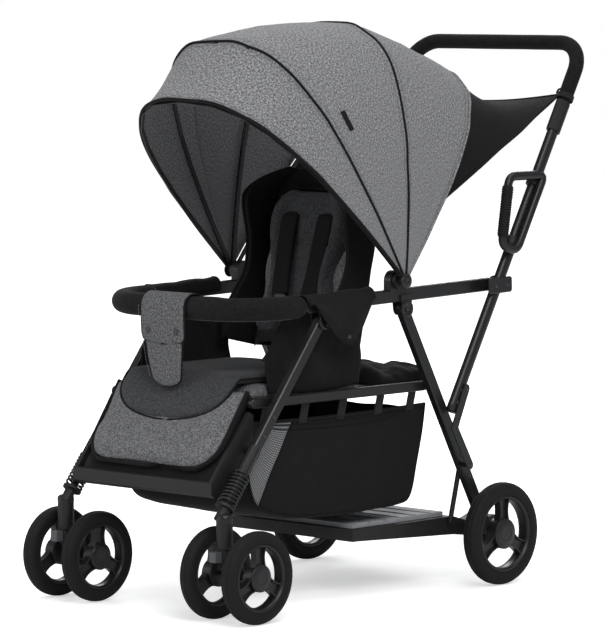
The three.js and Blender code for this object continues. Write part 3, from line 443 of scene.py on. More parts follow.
class Finish(Nodes):
    """Builds one material's nodes, with a Principled shader at the end."""

    def __init__(self, name, colour, roughness, metallic=0.0, sheen=0.0, coat=0.0, specular=0.5):
        self.material = bpy.data.materials.new(name)
        self.material.use_nodes = True
        super().__init__(self.material.node_tree)
        self.tree.nodes.clear()
        self.shader = self.node("ShaderNodeBsdfPrincipled", {
            "Base Color": (*colour, 1), "Roughness": roughness, "Metallic": metallic,
            "Specular IOR Level": specular, "Sheen Weight": sheen, "Sheen Roughness": 0.5,
            "Coat Weight": coat, "Coat Roughness": 0.2,
        })
        self.node("ShaderNodeOutputMaterial", {"Surface": self.shader.outputs[0]})
        self.material.diffuse_color = (*colour, 1)

    def coords(self, use="Object", scale=(1, 1, 1)):
        source = self.node("ShaderNodeTexCoord").outputs[use]
        return self.node("ShaderNodeMapping", {"Vector": source, "Scale": scale}).outputs[0]

    def noise(self, vector, scale, detail=3.0, roughness=0.5):
        return self.node("ShaderNodeTexNoise", {"Vector": vector, "Scale": scale,
                                                "Detail": detail, "Roughness": roughness}
                         ).outputs["Fac"]

    def wave(self, vector, scale, axis):
        return self.node("ShaderNodeTexWave", {"Vector": vector, "Scale": scale, "Detail": 1.0},
                         wave_type="BANDS", bands_direction=axis, wave_profile="SIN"
                         ).outputs["Fac"]

    def math(self, operation, a, b):
        return self.node("ShaderNodeMath", {0: a, 1: b}, operation=operation).outputs[0]

    def ramp(self, factor, stops):
        node = self.node("ShaderNodeValToRGB", {"Fac": factor})
        elements = node.color_ramp.elements
        while len(elements) < len(stops):
            elements.new(0.5)
        for element, (at, colour) in zip(elements, stops):
            element.position = at
            element.color = (*colour, 1)
        return node.outputs[0]

    def span(self, factor, low, high):
        return self.node("ShaderNodeMapRange", {
            "Value": factor, "From Min": 0.25, "From Max": 0.75, "To Min": low, "To Max": high,
        }).outputs[0]

    def colour(self, socket):
        self.set(self.shader, {"Base Color": socket})

    def rough(self, socket):
        self.set(self.shader, {"Roughness": socket})

    def bump(self, *layers):
        """Layers of (height, strength, distance in metres), one over the other."""
        normal = {}
        for height, strength, distance in layers:
            node = self.node("ShaderNodeBump", {"Height": height, "Strength": strength,
                                                "Distance": distance, **normal})
            normal = {"Normal": node.outputs[0]}
        self.set(self.shader, normal)
        return self


def mixed(colour, amount):
    return tuple(min(1.0, max(0.0, c * amount)) for c in colour)


def painted_tube(name, colour):
    """Powder-coated tube: a fine orange peel, duller where hands and straps rub."""
    f = Finish(name, colour, 0.42, coat=0.22, specular=0.3)
    at = f.coords()
    peel = f.noise(at, 900, 2)
    wear = f.noise(at, 14, 4)
    f.colour(f.ramp(wear, [(0.3, mixed(colour, 0.82)), (0.62, colour),
                           (0.8, mixed(colour, 1.35))]))
    f.rough(f.span(wear, 0.36, 0.56))
    return f.bump((peel, 0.12, 0.0004)).material


def bare_steel(name, colour):
    f = Finish(name, colour, 0.32, metallic=1.0)
    at = f.coords(scale=(1, 18, 18))
    brushed = f.noise(at, 120, 4)
    f.colour(f.ramp(brushed, [(0.3, mixed(colour, 0.75)), (0.7, mixed(colour, 1.15))]))
    f.rough(f.span(brushed, 0.24, 0.46))
    return f.bump((brushed, 0.1, 0.0003)).material


def moulded(name, colour, grain=1500, gloss=0.5):
    """Moulded nylon: a fine spark grain, faint flow marks and dull scuffs."""
    f = Finish(name, colour, gloss, specular=0.35)
    at = f.coords()
    fine = f.noise(at, grain, 2)
    broad = f.noise(at, 22, 3)
    f.colour(f.ramp(broad, [(0.3, mixed(colour, 0.85)), (0.7, mixed(colour, 1.2))]))
    f.rough(f.span(broad, gloss - 0.07, gloss + 0.1))
    return f.bump((fine, 0.22, 0.0003), (broad, 0.05, 0.001)).material


def tyre_rubber(name, colour):
    f = Finish(name, colour, 0.72, specular=0.25)
    at = f.coords()
    dust = f.noise(at, 35, 5, 0.6)
    fine = f.noise(at, 1800, 2)
    f.colour(f.ramp(dust, [(0.35, mixed(colour, 0.8)), (0.62, colour),
                           (0.85, mixed(colour, 2.2))]))
    f.rough(f.span(dust, 0.66, 0.88))
    return f.bump((fine, 0.25, 0.0004)).material


def closed_foam(name, colour):
    """Foam grip: small open pores over a soft skin."""
    f = Finish(name, colour, 0.9, sheen=0.03, specular=0.14)
    at = f.coords()
    pores = f.node("ShaderNodeTexVoronoi", {"Vector": at, "Scale": 900.0}).outputs["Distance"]
    soft = f.noise(at, 160, 4)
    f.colour(f.ramp(soft, [(0.3, mixed(colour, 0.7)), (0.7, mixed(colour, 1.5))]))
    return f.bump((pores, 0.45, 0.0005), (soft, 0.25, 0.0008)).material


THREADS_A_WAVE = 3.18


def woven(f, at, pitch, strength):
    """Over and under threads, as height, at so many threads a metre."""
    scale = pitch / THREADS_A_WAVE
    warp = f.wave(at, scale, "X")
    weft = f.wave(at, scale, "Y")
    return (f.math("MULTIPLY", warp, weft), strength, 0.0004)


def melange(name, dark, light, use="UV"):
    """Heathered grey cloth: light and dark yarns mixed in short streaks."""
    mid = tuple(a * 0.6 + b * 0.4 for a, b in zip(dark, light))
    f = Finish(name, mid, 0.93, sheen=0.06, specular=0.15)
    stretch, pitch = 2, 190 if use == "UV" else 260
    across = f.coords(use, scale=(1, stretch, 1))
    down = f.coords(use, scale=(stretch, 1, stretch))
    plain = f.coords(use)
    streaks = f.noise(across, pitch, 4, 0.75)
    threads = f.noise(down, pitch, 4, 0.75)
    blend = f.math("ADD", f.math("MULTIPLY", streaks, 0.5), f.math("MULTIPLY", threads, 0.5))
    f.colour(f.ramp(blend, [(0.42, dark), (0.5, mid), (0.57, light)]))
    f.rough(f.span(streaks, 0.88, 0.98))
    if use == "UV":
        layers = [woven(f, plain, 1100, 0.3)]
    else:
        layers = [(f.noise(plain, 1300, 2), 0.35, 0.0004)]
    return f.bump(*layers, (f.noise(plain, 22, 3), 0.12, 0.002)).material


def black_weave(name, colour, use="UV", pitch=900):
    """Black pack cloth with a plain weave that catches a little light."""
    f = Finish(name, colour, 0.85, sheen=0.03, specular=0.14)
    at = f.coords(use)
    yarn = f.noise(at, 420, 3)
    f.colour(f.ramp(yarn, [(0.3, mixed(colour, 0.6)), (0.7, mixed(colour, 1.5))]))
    layer = woven(f, at, pitch, 0.5) if use == "UV" else (f.noise(at, 1100, 2), 0.35, 0.0004)
    return f.bump(layer, (f.noise(at, 45, 4), 0.3, 0.002)).material


def open_mesh(name, colour):
    """Knitted net: dark threads in rows, with the pits between them painted pale as painted light
    seen through the holes.
    """
    f = Finish(name, colour, 0.8, sheen=0.03, specular=0.2)
    at = f.coords("UV")
    rows = f.wave(at, 80, "X")
    columns = f.wave(at, 80, "Y")
    holes = f.math("MULTIPLY", rows, columns)
    # The pale grey stop is painted light: it stands in for light showing through holes that the
    # solid cloth does not have.
    f.colour(f.ramp(holes, [(0.12, mixed(colour, 8)), (0.4, (0.34, 0.345, 0.35))]))
    return f.bump((holes, 0.6, 0.0012)).material


def webbing(name, colour):
    """Polyester webbing: ribs along the band."""
    f = Finish(name, colour, 0.72, sheen=0.03, specular=0.22)
    at = f.coords("UV")
    ribs = f.wave(at, 240, "X")
    picks = f.wave(at, 300, "Y")
    height = f.math("ADD", ribs, f.math("MULTIPLY", picks, 0.4))
    f.colour(f.ramp(f.noise(at, 300, 2), [(0.3, mixed(colour, 0.7)), (0.7, mixed(colour, 1.4))]))
    return f.bump((height, 0.6, 0.0006)).material


def thread(name, colour):
    f = Finish(name, colour, 0.75, sheen=0.2)
    at = f.coords()
    f.colour(f.ramp(f.noise(at, 500, 2), [(0.3, mixed(colour, 0.75)), (0.7, mixed(colour, 1.2))]))
    return f.bump((f.wave(at, 900, "DIAGONAL"), 0.4, 0.0003)).material


FINISHES = {}


def finish(name):
    """The named finish, made once from the colours in the panel."""
    if name in FINISHES:
        return FINISHES[name]
    c = bpy.context.scene.stroller_colours
    makers = {
        "frame_paint": (painted_tube, c.frame_colour),
        "plain_steel": (bare_steel, (0.42, 0.43, 0.45)),
        "dark_steel": (bare_steel, (0.075, 0.075, 0.08)),
        "black_nylon": (moulded, c.nylon_colour),
        "gloss_nylon": (moulded, mixed(c.nylon_colour, 1.2), 2200, 0.33),
        "lock_nylon": (moulded, mixed(c.grip_colour, 0.3), 1200, 0.5),
        "grey_nylon": (moulded, c.grip_colour, 1200, 0.58),
        "tyre_rubber": (tyre_rubber, c.tyre_colour),
        "grip_rubber": (tyre_rubber, mixed(c.tyre_colour, 0.8)),
        "grip_foam": (closed_foam, c.foam_colour),
        "bumper_foam": (closed_foam, mixed(c.foam_colour, 1.1)),
        "canopy_cloth": (melange, c.cloth_dark, c.cloth_light),
        "seat_cloth": (melange, mixed(c.cloth_dark, 0.75), mixed(c.cloth_light, 0.62), "Object"),
        "flap_cloth": (melange, mixed(c.cloth_dark, 0.7), mixed(c.cloth_light, 0.5)),
        "insert_cloth": (melange, mixed(c.cloth_dark, 0.42), mixed(c.cloth_dark, 1.15), "Object"),
        "black_cloth": (black_weave, c.black_cloth),
        "black_pad": (black_weave, c.black_cloth, "Object"),
        "shade_cloth": (black_weave, mixed(c.black_cloth, 0.8), "UV", 600),
        "binding": (black_weave, mixed(c.black_cloth, 0.9), "UV", 1300),
        "basket_net": (open_mesh, c.black_cloth),
        "webbing": (webbing, c.webbing_colour),
        "stitch_dark": (thread, (0.03, 0.03, 0.032)),
        "stitch_grey": (thread, (0.25, 0.25, 0.26)),
    }
    make, *looks = makers[name]
    FINISHES[name] = make(name, *looks)
    return FINISHES[name]


# What the panel shows


def colour_property(name, description, default):
    return bpy.props.FloatVectorProperty(name=name, description=description, subtype="COLOR",
                                         size=3, min=0, max=1, default=default)


def length_property(name, description, default):
    return bpy.props.FloatProperty(name=name, description=description, unit="LENGTH",
                                   min=0, max=2, default=default)


class StrollerColours(bpy.types.PropertyGroup):
    """The colours that a user would change."""

    frame_colour: colour_property("Frame", "Powder coat of the tubes", (0.0095, 0.0097, 0.0105))
    nylon_colour: colour_property("Mouldings", "Moulded nylon castings", (0.009, 0.009, 0.0097))
    grip_colour: colour_property("Grip pads", "Footplate pad and swivel locks",
                                 (0.27, 0.275, 0.285))
    tyre_colour: colour_property("Tyres", "Tyres and rubber grips", (0.0085, 0.0085, 0.009))
    foam_colour: colour_property("Foam", "Handle and bumper foam", (0.0075, 0.0075, 0.008))
    cloth_dark: colour_property("Heather, dark yarn", "Dark yarn of the grey cloth",
                                (0.062, 0.063, 0.066))
    cloth_light: colour_property("Heather, light yarn", "Light yarn of the grey cloth",
                                 (0.36, 0.36, 0.37))
    black_cloth: colour_property("Black cloth", "Basket, bench and shade",
                                 (0.0075, 0.0075, 0.008))
    webbing_colour: colour_property("Webbing", "Harness straps", (0.011, 0.011, 0.0115))


class StrollerSizes(bpy.types.PropertyGroup):
    """The sizes that a user would change."""

    piping_radius: length_property("Piping", "Radius of the piping on the canopy", 0.0024)
    cloth_slack: length_property("Canopy slack", "How far the cloth sinks between hoops", 0.013)
    rivet_radius: length_property("Rivets", "Radius of a rivet head", 0.0042)
    stitch_pitch: length_property("Stitches", "Distance from one stitch to the next", 0.0042)
    foam_radius: length_property("Handle foam", "Radius of the handle's foam", 0.0145)
    bumper_radius: length_property("Bumper", "Radius of the padded bumper", 0.0212)


def sizes():
    return bpy.context.scene.stroller_sizes


# Geometry Nodes


def instanced(piece, name, values, material, build):
    """Sets a node group on an object; build(nodes, inputs) returns its instances."""
    tree = bpy.data.node_groups.new(name + "_tree", "GeometryNodeTree")
    for way in ("INPUT", "OUTPUT"):
        tree.interface.new_socket("Geometry", in_out=way, socket_type="NodeSocketGeometry")
    modifier_keys = {}
    for label, value in values.items():
        socket = tree.interface.new_socket(label, in_out="INPUT", socket_type="NodeSocketFloat")
        socket.default_value = value
        modifier_keys[label] = socket.identifier
    nodes = Nodes(tree)
    instances = build(nodes, nodes.node("NodeGroupInput").outputs)
    real = nodes.node("GeometryNodeRealizeInstances", {0: instances})
    smooth = nodes.node("GeometryNodeSetShadeSmooth", {0: real.outputs[0]})
    paint = nodes.node("GeometryNodeSetMaterial", {0: smooth.outputs[0],
                                                   "Material": finish(material)})
    nodes.node("NodeGroupOutput", {0: paint.outputs[0]})
    modifier = piece.modifiers.new("nodes", "NODES")
    modifier.node_group = tree
    for label, value in values.items():
        modifier[modifier_keys[label]] = value


def point_cloud(name, points):
    """Loose vertices with a normal each, for shapes that are set on them."""
    mesh = bpy.data.meshes.new(name)
    mesh.from_pydata([p for p, _ in points], [], [])
    attribute = mesh.attributes.new("facing", "FLOAT_VECTOR", "POINT")
    for i, (_, normal) in enumerate(points):
        attribute.data[i].vector = normal
    return add_object(name, mesh)


def heads(name, points, body, radius, height=0.4, sides=18):
    """Domed steel heads, such as rivets and snaps: one on each (point, normal)."""
    def build(nodes, given):
        dome = nodes.node("GeometryNodeMeshUVSphere", {"Segments": sides, "Rings": 8,
                                                       "Radius": given["Radius"]})
        scale = nodes.node("ShaderNodeCombineXYZ", {"X": 1, "Y": 1, "Z": given["Height"]})
        flat = nodes.node("GeometryNodeTransform", {"Geometry": dome.outputs["Mesh"],
                                                    "Scale": scale.outputs[0]})
        facing = nodes.node("GeometryNodeInputNamedAttribute", {"Name": "facing"},
                            data_type="FLOAT_VECTOR")
        align = nodes.node("FunctionNodeAlignRotationToVector",
                           {"Vector": facing.outputs["Attribute"]}, axis="Z")
        return nodes.node("GeometryNodeInstanceOnPoints", {
            "Points": given["Geometry"], "Instance": flat.outputs[0],
            "Rotation": align.outputs[0]}).outputs[0]

    piece = point_cloud(name, points)
    instanced(piece, name, {"Radius": radius, "Height": height}, "dark_steel", build)
    bake(piece)
    dress(piece, body, "dark_steel", "bare_metal")


STITCH_RADIUS = 0.00045


def stitches(name, paths, body, material, slot):
    """Short stitches laid end to end along each path, from one curve and a node group."""
    def build(nodes, given):
        spaced = nodes.node("GeometryNodeCurveToPoints", {
            "Curve": given["Geometry"], "Length": given["Pitch"]}, mode="LENGTH")
        bead = nodes.node("GeometryNodeMeshUVSphere", {"Segments": 6, "Rings": 4,
                                                       "Radius": given["Radius"]})
        long = nodes.node("GeometryNodeTransform", {"Geometry": bead.outputs["Mesh"],
                                                    "Scale": (1, 1, 3.2)})
        return nodes.node("GeometryNodeInstanceOnPoints", {
            "Points": spaced.outputs["Points"], "Rotation": spaced.outputs["Rotation"],
            "Instance": long.outputs[0]}).outputs[0]

    curve = bpy.data.curves.new(name, "CURVE")
    curve.dimensions = "3D"
    for path in paths:
        spline = curve.splines.new("POLY")
        spline.points.add(len(path) - 1)
        for point, where in zip(spline.points, path):
            point.co = (*where, 1)
    source = add_object(name + "_line", curve)
    instanced(source, name, {"Pitch": sizes().stitch_pitch, "Radius": STITCH_RADIUS}, material,
              build)
    piece = add_object(name, evaluated_mesh(source))
    bpy.data.objects.remove(source)
    return dress(piece, body, material, slot)


# Pieces

HUB = place(0, -245, 589)
FRONT_PIVOT = (-444, 527)
REAR_PIVOT = (-222, 535)
HANDLE_PIVOT = (24, 568)
BOWS = {"rear": (128, 0.485), "mid": (94, 0.474), "front": (59, 0.514), "visor": (43, 0.492)}
BOW_ORDER = ("rear", "mid", "front", "visor")
COVER_X = 0.2085  # the outer face of the armrests' castings


def arch(t, angle, height, half_width=0.2265, lift=0.0):
    """A point of a canopy hoop: t runs from 0 on the left side to 1 on the right."""
    c, s = math.cos(t * math.pi), math.sin(t * math.pi)
    x = half_width * math.copysign(abs(c) ** 0.8, c) * (1 + 0.13 * s * s)
    reach = (height + lift) * s ** 0.8
    a = math.radians(angle)
    return Vector((x, HUB.y - reach * math.cos(a), HUB.z + reach * math.sin(a)))


def paint_nodes(names, material):
    """Gives kept CAD nodes their finish."""
    for name in names:
        NODES[name].data.materials.clear()
        NODES[name].data.materials.append(finish(material))


def both(*names):
    return [f"{name}_{side}" for name in names for side, _ in SIDES]


class StrollerOperator:
    """What every piece operator shares."""

    bl_options = {"REGISTER", "UNDO"}


def other_side(p):
    return Vector((-p.x, p.y, p.z))


SNAP = (0.0055, 0.35, 24)  # radius, height as a share of it, sides


class STROLLER_OT_frame(StrollerOperator, bpy.types.Operator):
    """Painted tubes, steel rods and castings of the frame, with their rivets"""

    bl_idname = "stroller.frame"
    bl_label = "Frame"

    def execute(self, context):
        paint_nodes(both("rear_leg", "front_leg", "seat_rail", "stay_rod", "fold_link", "armrest")
                    + ["front_crossbar"], "frame_paint")
        paint_nodes(["rear_axle", "backrest_rod"], "plain_steel")
        paint_nodes(["footplate_frame", "footrest", "brake_bar", "backrest_board", "seat_board"]
                    + both("stem", "fork", "handle_collar", "canopy_hub")
                    + [f"canopy_{name}_bow" for name in BOW_ORDER], "black_nylon")
        paint_nodes(["footplate_grip"], "grey_nylon")
        paint_nodes(both("swivel_lock"), "lock_nylon")
        self.armrests()
        self.rivets()
        return {"FINISHED"}

    def armrests(self):
        """A moulded cover on each pivot, and a cheek at the rear end."""
        for side, s in SIDES:
            bm = bmesh.new()
            for (y, z), reach in ((FRONT_PIVOT, 17), (REAR_PIVOT, 16), (HANDLE_PIVOT, 17)):
                turned(bm, [(0.0005, 0), (reach / 1000, 0), (reach / 1000, 0.0022),
                            ((reach - 2) / 1000, 0.0032), ((reach - 5) / 1000, 0.0026),
                            (0.0005, 0.0026)],
                       place(0, y, z) + X_AXIS * COVER_X, 48)
            if s < 0:
                for v in bm.verts:
                    v.co.x = -v.co.x
            face_outwards(bm)
            new_object(f"pivot_covers_{side}", bm, "armrests", "gloss_nylon", "plastic")
            self.handle_cheek(side, s)

    def handle_cheek(self, side, s):
        """The armrest's rear end: a pressed cheek on the handle tube's outside."""
        bm = bmesh.new()
        inside, outside, shoulder = 0.2283, 0.2312, 0.2304
        half_length, half_height, corner = 0.0335, 0.0150, 0.006
        centre = place(0, 20, 567.5)
        along, up = Vector((0, 1, 0.028)).normalized(), Vector((0, -0.028, 1)).normalized()
        rings = []
        for x, inset in ((inside, 0.0), (shoulder, 0.0), (outside, 0.0012), (outside, 0.004)):
            row, r = [], corner - min(inset, corner / 2)
            for k in range(48):
                a = 2 * math.pi * (k + 0.5) / 48
                c, d = math.cos(a), math.sin(a)
                row.append(centre + X_AXIS * (s * x)
                           + along * (math.copysign(half_length - corner, c) + r * c)
                           + up * (math.copysign(half_height - corner, d) + r * d))
            rings.append(row)
        add_rings(bm, rings, uv=False)
        face_outwards(bm)
        new_object(f"handle_cheek_{side}", bm, "armrests", "frame_paint", "frame")

    def rivets(self):
        """Rivet heads, as (y, z) from the rear axle on each body's outer face."""
        (y0, z0), face = FRONT_PIVOT, {"leg": 205.6, "armrest": 211.2, "handle": 228,
                                       "cheek": 231.2, "link": 232.7}
        groups = (
            ("armrests", (("armrest", ((y0 - 2, z0 + 4), (y0 + 5, z0 - 8), REAR_PIVOT)),
                          ("cheek", ((8, 567), (40, 569))))),
            ("rear_frame", (("leg", ((-92, 300), (-64, 250), (-40, 206), (0, 134), (17, 104))),)),
            ("front_frame", (("leg", ((-600, 328), (-575, 360))),)),
            ("fold_links", (("link", ((-79, 378), (-68, 232))),)),
            ("handle", (("handle", ((-98, 352), (-86, 374))),)),
        )
        for body, sets in groups:
            points = [(place(s * face[on], y, z), X_AXIS * s)
                      for on, spots in sets for y, z in spots for _, s in SIDES]
            heads(f"rivets_{body}", points, body, sizes().rivet_radius)


# Radius, the rim's radius, width and the hub's radius.
REAR_WHEEL = (0.0975, 0.0725, 0.032, 0.029)
FRONT_WHEEL = (0.084, 0.0615, 0.029, 0.025)


class STROLLER_OT_wheels(StrollerOperator, bpy.types.Operator):
    """Rear and front wheels: treaded tyres, ribbed spokes and hub caps"""

    bl_idname = "stroller.wheels"
    bl_label = "Wheels"

    def execute(self, context):
        for side, s in SIDES:
            centre = middle(f"rear_tyre_{side}")
            centre.z = REAR_WHEEL[0]
            self.wheel(f"rear_wheel_{side}", centre, REAR_WHEEL, s,
                       f"rear_tyre_{side}", f"rear_rim_{side}")
            for which, outwards in (("outer", s), ("inner", -s)):
                node = f"front_wheel_{side}_{which}"
                centre = middle(node)
                centre.z = FRONT_WHEEL[0]
                self.wheel(node, centre, FRONT_WHEEL, outwards, node, node)
        return {"FINISHED"}

    def wheel(self, name, centre, sizes_of, s, tyre_node, rim_node):
        radius, rim_radius, width, hub = sizes_of
        tyre = self.tyre(name, centre, radius, rim_radius, width / 2)
        rim = self.rim(name, centre, rim_radius, width / 2, hub, s)
        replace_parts(rim, rim_node)
        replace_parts(tyre, tyre_node)

    def tyre(self, name, centre, radius, rim_radius, w):
        """A solid tyre with a bead, a rounded crown and two shallow grooves."""
        half = [(rim_radius, w - 0.0022), (rim_radius + 0.0022, w - 0.0004),
                (rim_radius + 0.0044, w - 0.0016), (rim_radius + 0.008, w),
                (radius - 0.009, w - 0.0012), (radius - 0.004, w * 0.78),
                (radius - 0.0015, w * 0.55), (radius - 0.0006, w * 0.40),
                (radius - 0.0016, w * 0.36), (radius - 0.0016, w * 0.30),
                (radius - 0.0003, w * 0.26)]
        bm = bmesh.new()
        turned(bm, [(r, -x) for r, x in half] + [(radius, 0)] + half[::-1], centre, 96)
        face_outwards(bm)
        return new_object(f"{name}_tyre", bm, name, "tyre_rubber", "tyre")

    def rim(self, name, centre, rim_radius, w, hub, s):
        """Three broad spokes, each with two ribs, between a dished rim and a hub cap."""
        bm = bmesh.new()
        ring = [
            (rim_radius - 0.0004, -w * 0.82), (rim_radius - 0.0004, w * 0.82),
            (rim_radius - 0.0035, w * 0.86), (rim_radius - 0.0065, w * 0.7),
            (rim_radius - 0.0080, w * 0.3), (rim_radius - 0.0080, -w * 0.3),
            (rim_radius - 0.0065, -w * 0.7), (rim_radius - 0.0035, -w * 0.86),
        ]
        turned(bm, ring, centre, 96)
        face = w * 0.62 * s
        for k in range(3):
            a = math.radians(90 + 120 * k)
            self.spoke(bm, centre, Vector((0, math.cos(a), math.sin(a))),
                       Vector((0, -math.sin(a), math.cos(a))), hub * 0.7, rim_radius - 0.006, face)
        cap_profile = [
            (0.0005, w * 0.99), (hub * 0.62, w * 0.99), (hub * 0.86, w * 0.93), (hub, w * 0.74),
            (hub, -w * 0.74), (hub * 0.86, -w * 0.93), (hub * 0.62, -w * 0.99),
            (0.0005, -w * 0.99),
        ]
        turned(bm, cap_profile, centre, 48)
        turned(bm, [(hub * 0.40, w * 0.99 * s), (hub * 0.44, w * 1.03 * s),
                    (hub * 0.54, w * 1.03 * s), (hub * 0.58, w * 0.985 * s)], centre, 48)
        face_outwards(bm)
        piece = new_object(f"{name}_rim", bm, name, "gloss_nylon", "plastic")
        soften(piece, 0.0006, 40)
        return piece

    def spoke(self, bm, centre, out, across, near, far, face):
        """A web with a raised rib along each edge; the ribs spread towards the rim."""
        steps = 7
        rib, web, back = 0.0028, 0.42, -0.55
        rings = []
        for i in range(steps + 1):
            u = i / steps
            half = 0.0112 + 0.0042 * (2 * u - 1) ** 2
            section = [
                (-half, back), (-half, 1.0), (-half + rib, 1.0), (-half + rib * 1.2, web),
                (half - rib * 1.2, web), (half - rib, 1.0), (half, 1.0), (half, back),
            ]
            rings.append([centre + out * (near + (far - near) * u) + across * a
                          + X_AXIS * face * b for a, b in section])
        add_rings(bm, rings)


class STROLLER_OT_suspension(StrollerOperator, bpy.types.Operator):
    """Coil springs over the front stems, and the caster mouldings' caps"""

    bl_idname = "stroller.suspension"
    bl_label = "Suspension"

    def execute(self, context):
        for side, s in SIDES:
            self.spring(side, s)
            self.caster_cap(side, s)
        return {"FINISHED"}

    def spring(self, side, s):
        """A steel helix between the leg's collar and the stem's seat."""
        top = place(s * 197, -649, 265)
        axis = Vector((0, -0.6163, -0.7875))
        length, radius, wire, turns = 0.0700, 0.0160, 0.0021, 9
        over = axis.cross(X_AXIS)
        path = []
        count = turns * 24
        for i in range(count + 1):
            u = i / count
            a = 2 * math.pi * turns * u
            settle = wire * 1.2 + (length - 2.4 * wire) * u
            path.append(top + axis * settle + (X_AXIS * math.cos(a) + over * math.sin(a)) * radius)
        piece = tube_piece(f"coil_{side}", [path], wire, 10, axis, f"suspension_{side}",
                           "frame_paint", "frame")
        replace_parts(piece, f"spring_{side}")
        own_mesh(piece)

    def caster_cap(self, side, s):
        centre = place(s * 205, -703, 192)
        bm = bmesh.new()
        profile = [(0.0152, -0.010), (0.0156, -0.002), (0.0148, 0.0016), (0.011, 0.0042),
                   (0.006, 0.0054), (0.0004, 0.0056)]
        add_net(bm, [oval(centre + Z_AXIS * h, X_AXIS, Y_AXIS, r, r, 40) for r, h in profile],
                close_columns=True)
        face_outwards(bm)
        new_object(f"caster_cap_{side}", bm, f"suspension_{side}", "gloss_nylon", "plastic")


# The handle's line, in the side plane.
UP = (0.49325, 0.86988)
HANDLE_LINE, HANDLE_FRONT = Vector((0, *UP)), Vector((0, -UP[1], UP[0]))
HANDLE_X, HANDLE_TOP = 218.5, (282, 1023)
GRAB_X = 236.4
FOAM_END = -130


def up_handle(start, length):
    """A (y, z) point further up the handle, in millimetres."""
    return (start[0] + UP[0] * length, start[1] + UP[1] * length)


def handle_path(low):
    """From a low point up one side, over the top and down the other."""
    bend, steps = 62, 16
    corner = up_handle(HANDLE_TOP, -bend)
    half = resample([place(HANDLE_X, *low), place(HANDLE_X, *corner)], 0.012)[:-1]
    for i in range(steps + 1):
        a = math.pi / 2 * i / steps
        half.append(place(HANDLE_X - bend * (1 - math.cos(a)),
                          *up_handle(corner, bend * math.sin(a))))
    cross = resample([half[-1], other_side(half[-1])], 0.012)[1:-1]
    return half + cross + [other_side(p) for p in reversed(half)]


class STROLLER_OT_handle(StrollerOperator, bpy.types.Operator):
    """The bent push handle, its foam, and the rear child's grab loops"""

    bl_idname = "stroller.handle"
    bl_label = "Handle"

    def execute(self, context):
        self.tube()
        self.foam()
        for side, s in SIDES:
            self.grab(side, s)
        return {"FINISHED"}

    def tube(self):
        path = handle_path((-108, 336))
        rings = []
        for i, point in enumerate(path):
            ahead = (path[min(i + 1, len(path) - 1)] - path[max(i - 1, 0)]).normalized()
            side = ahead.cross(HANDLE_FRONT).normalized()
            rings.append(oval(point, side, HANDLE_FRONT, 0.0095, 0.012, 24))
        bm = bmesh.new()
        add_rings(bm, rings)
        face_outwards(bm)
        piece = new_object("push_tube", bm, "handle", "frame_paint", "frame")
        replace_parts(piece, "handle_tube")

    def foam(self):
        """Foam with a slightly uneven skin, tucked in at both ends."""
        path = resample(handle_path(up_handle(HANDLE_TOP, FOAM_END)), 0.006)
        radii = uneven(path, sizes().foam_radius, 0.82, 0.06, 0.018, 22, 3)
        piece = tube_piece("handle_grip", [path], radii, 28, HANDLE_FRONT, "handle",
                           "grip_foam", "foam")
        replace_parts(piece, "handle_foam")

    def grab(self, side, s):
        """A closed loop beside the tube with a ribbed rubber grip in front, on two clamps."""
        low, high = up_handle(HANDLE_PIVOT, 72), up_handle(HANDLE_PIVOT, 236)
        corners = [low, (low[0] - 44, low[1] + 12), (high[0] - 104, high[1]), high]
        ring = []
        for i, corner in enumerate(corners):
            here = place(s * GRAB_X, *corner)
            into = (here - place(s * GRAB_X, *corners[i - 1])).normalized()
            away = (place(s * GRAB_X, *corners[(i + 1) % 4]) - here).normalized()
            for k in range(9):
                u = k / 8
                ring.append(here - into * 0.018 * (1 - u) ** 2 + away * 0.018 * u ** 2)
        path = resample(ring + [ring[0]], 0.005)[:-1]
        bm = bmesh.new()
        net = []
        for i, point in enumerate(path):
            ahead = (path[(i + 1) % len(path)] - path[i - 1]).normalized()
            net.append(oval(point, X_AXIS, ahead.cross(X_AXIS).normalized(), 0.0078, 0.0085, 20))
        add_net(bm, net, close_rows=True, close_columns=True)
        face_outwards(bm)
        loop = new_object(f"grab_loop_{side}", bm, "handle", "gloss_nylon", "plastic")
        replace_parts(loop, f"grab_handle_{side}")
        start, end = place(s * GRAB_X, *corners[1]), place(s * GRAB_X, *corners[2])
        grip = resample([start.lerp(end, 0.13), start.lerp(end, 0.87)], 0.0009)
        ribs = [0.0108 + 0.0006 * math.sin(i * math.pi / 2.6) for i in range(len(grip))]
        for k in range(5):
            ribs[k] *= 0.84 + 0.03 * k
            ribs[-1 - k] *= 0.84 + 0.03 * k
        tube_piece(f"grab_grip_{side}", [grip], ribs, 24, X_AXIS, "handle", "grip_rubber", "tyre")
        bm = bmesh.new()
        for clamp in (up_handle(low, 16), up_handle(high, -16)):
            add_rings(bm, [oval(place(s * HANDLE_X, *up_handle(clamp, reach)), X_AXIS,
                                HANDLE_FRONT, 0.0142 * swell, 0.0165 * swell, 32)
                           for reach, swell in ((-10, 0.94), (-9, 1.0), (9, 1.0), (10, 0.94))])
        face_outwards(bm)
        new_object(f"grab_clamps_{side}", bm, "handle", "black_nylon", "plastic")
        heads(f"grab_screws_{side}", [
            (place(s * (HANDLE_X + 14.3), *q) + HANDLE_FRONT * 0.004, X_AXIS * s)
            for q in (up_handle(low, 26), up_handle(high, -6))], "handle", 0.0026, 0.35)


TIP = 0.0022  # how far from a hub the cloth starts, as a share of the hoop
LAST_V = 2.9999  # just inside the visor hoop
SHADE_CORNER_X = 202


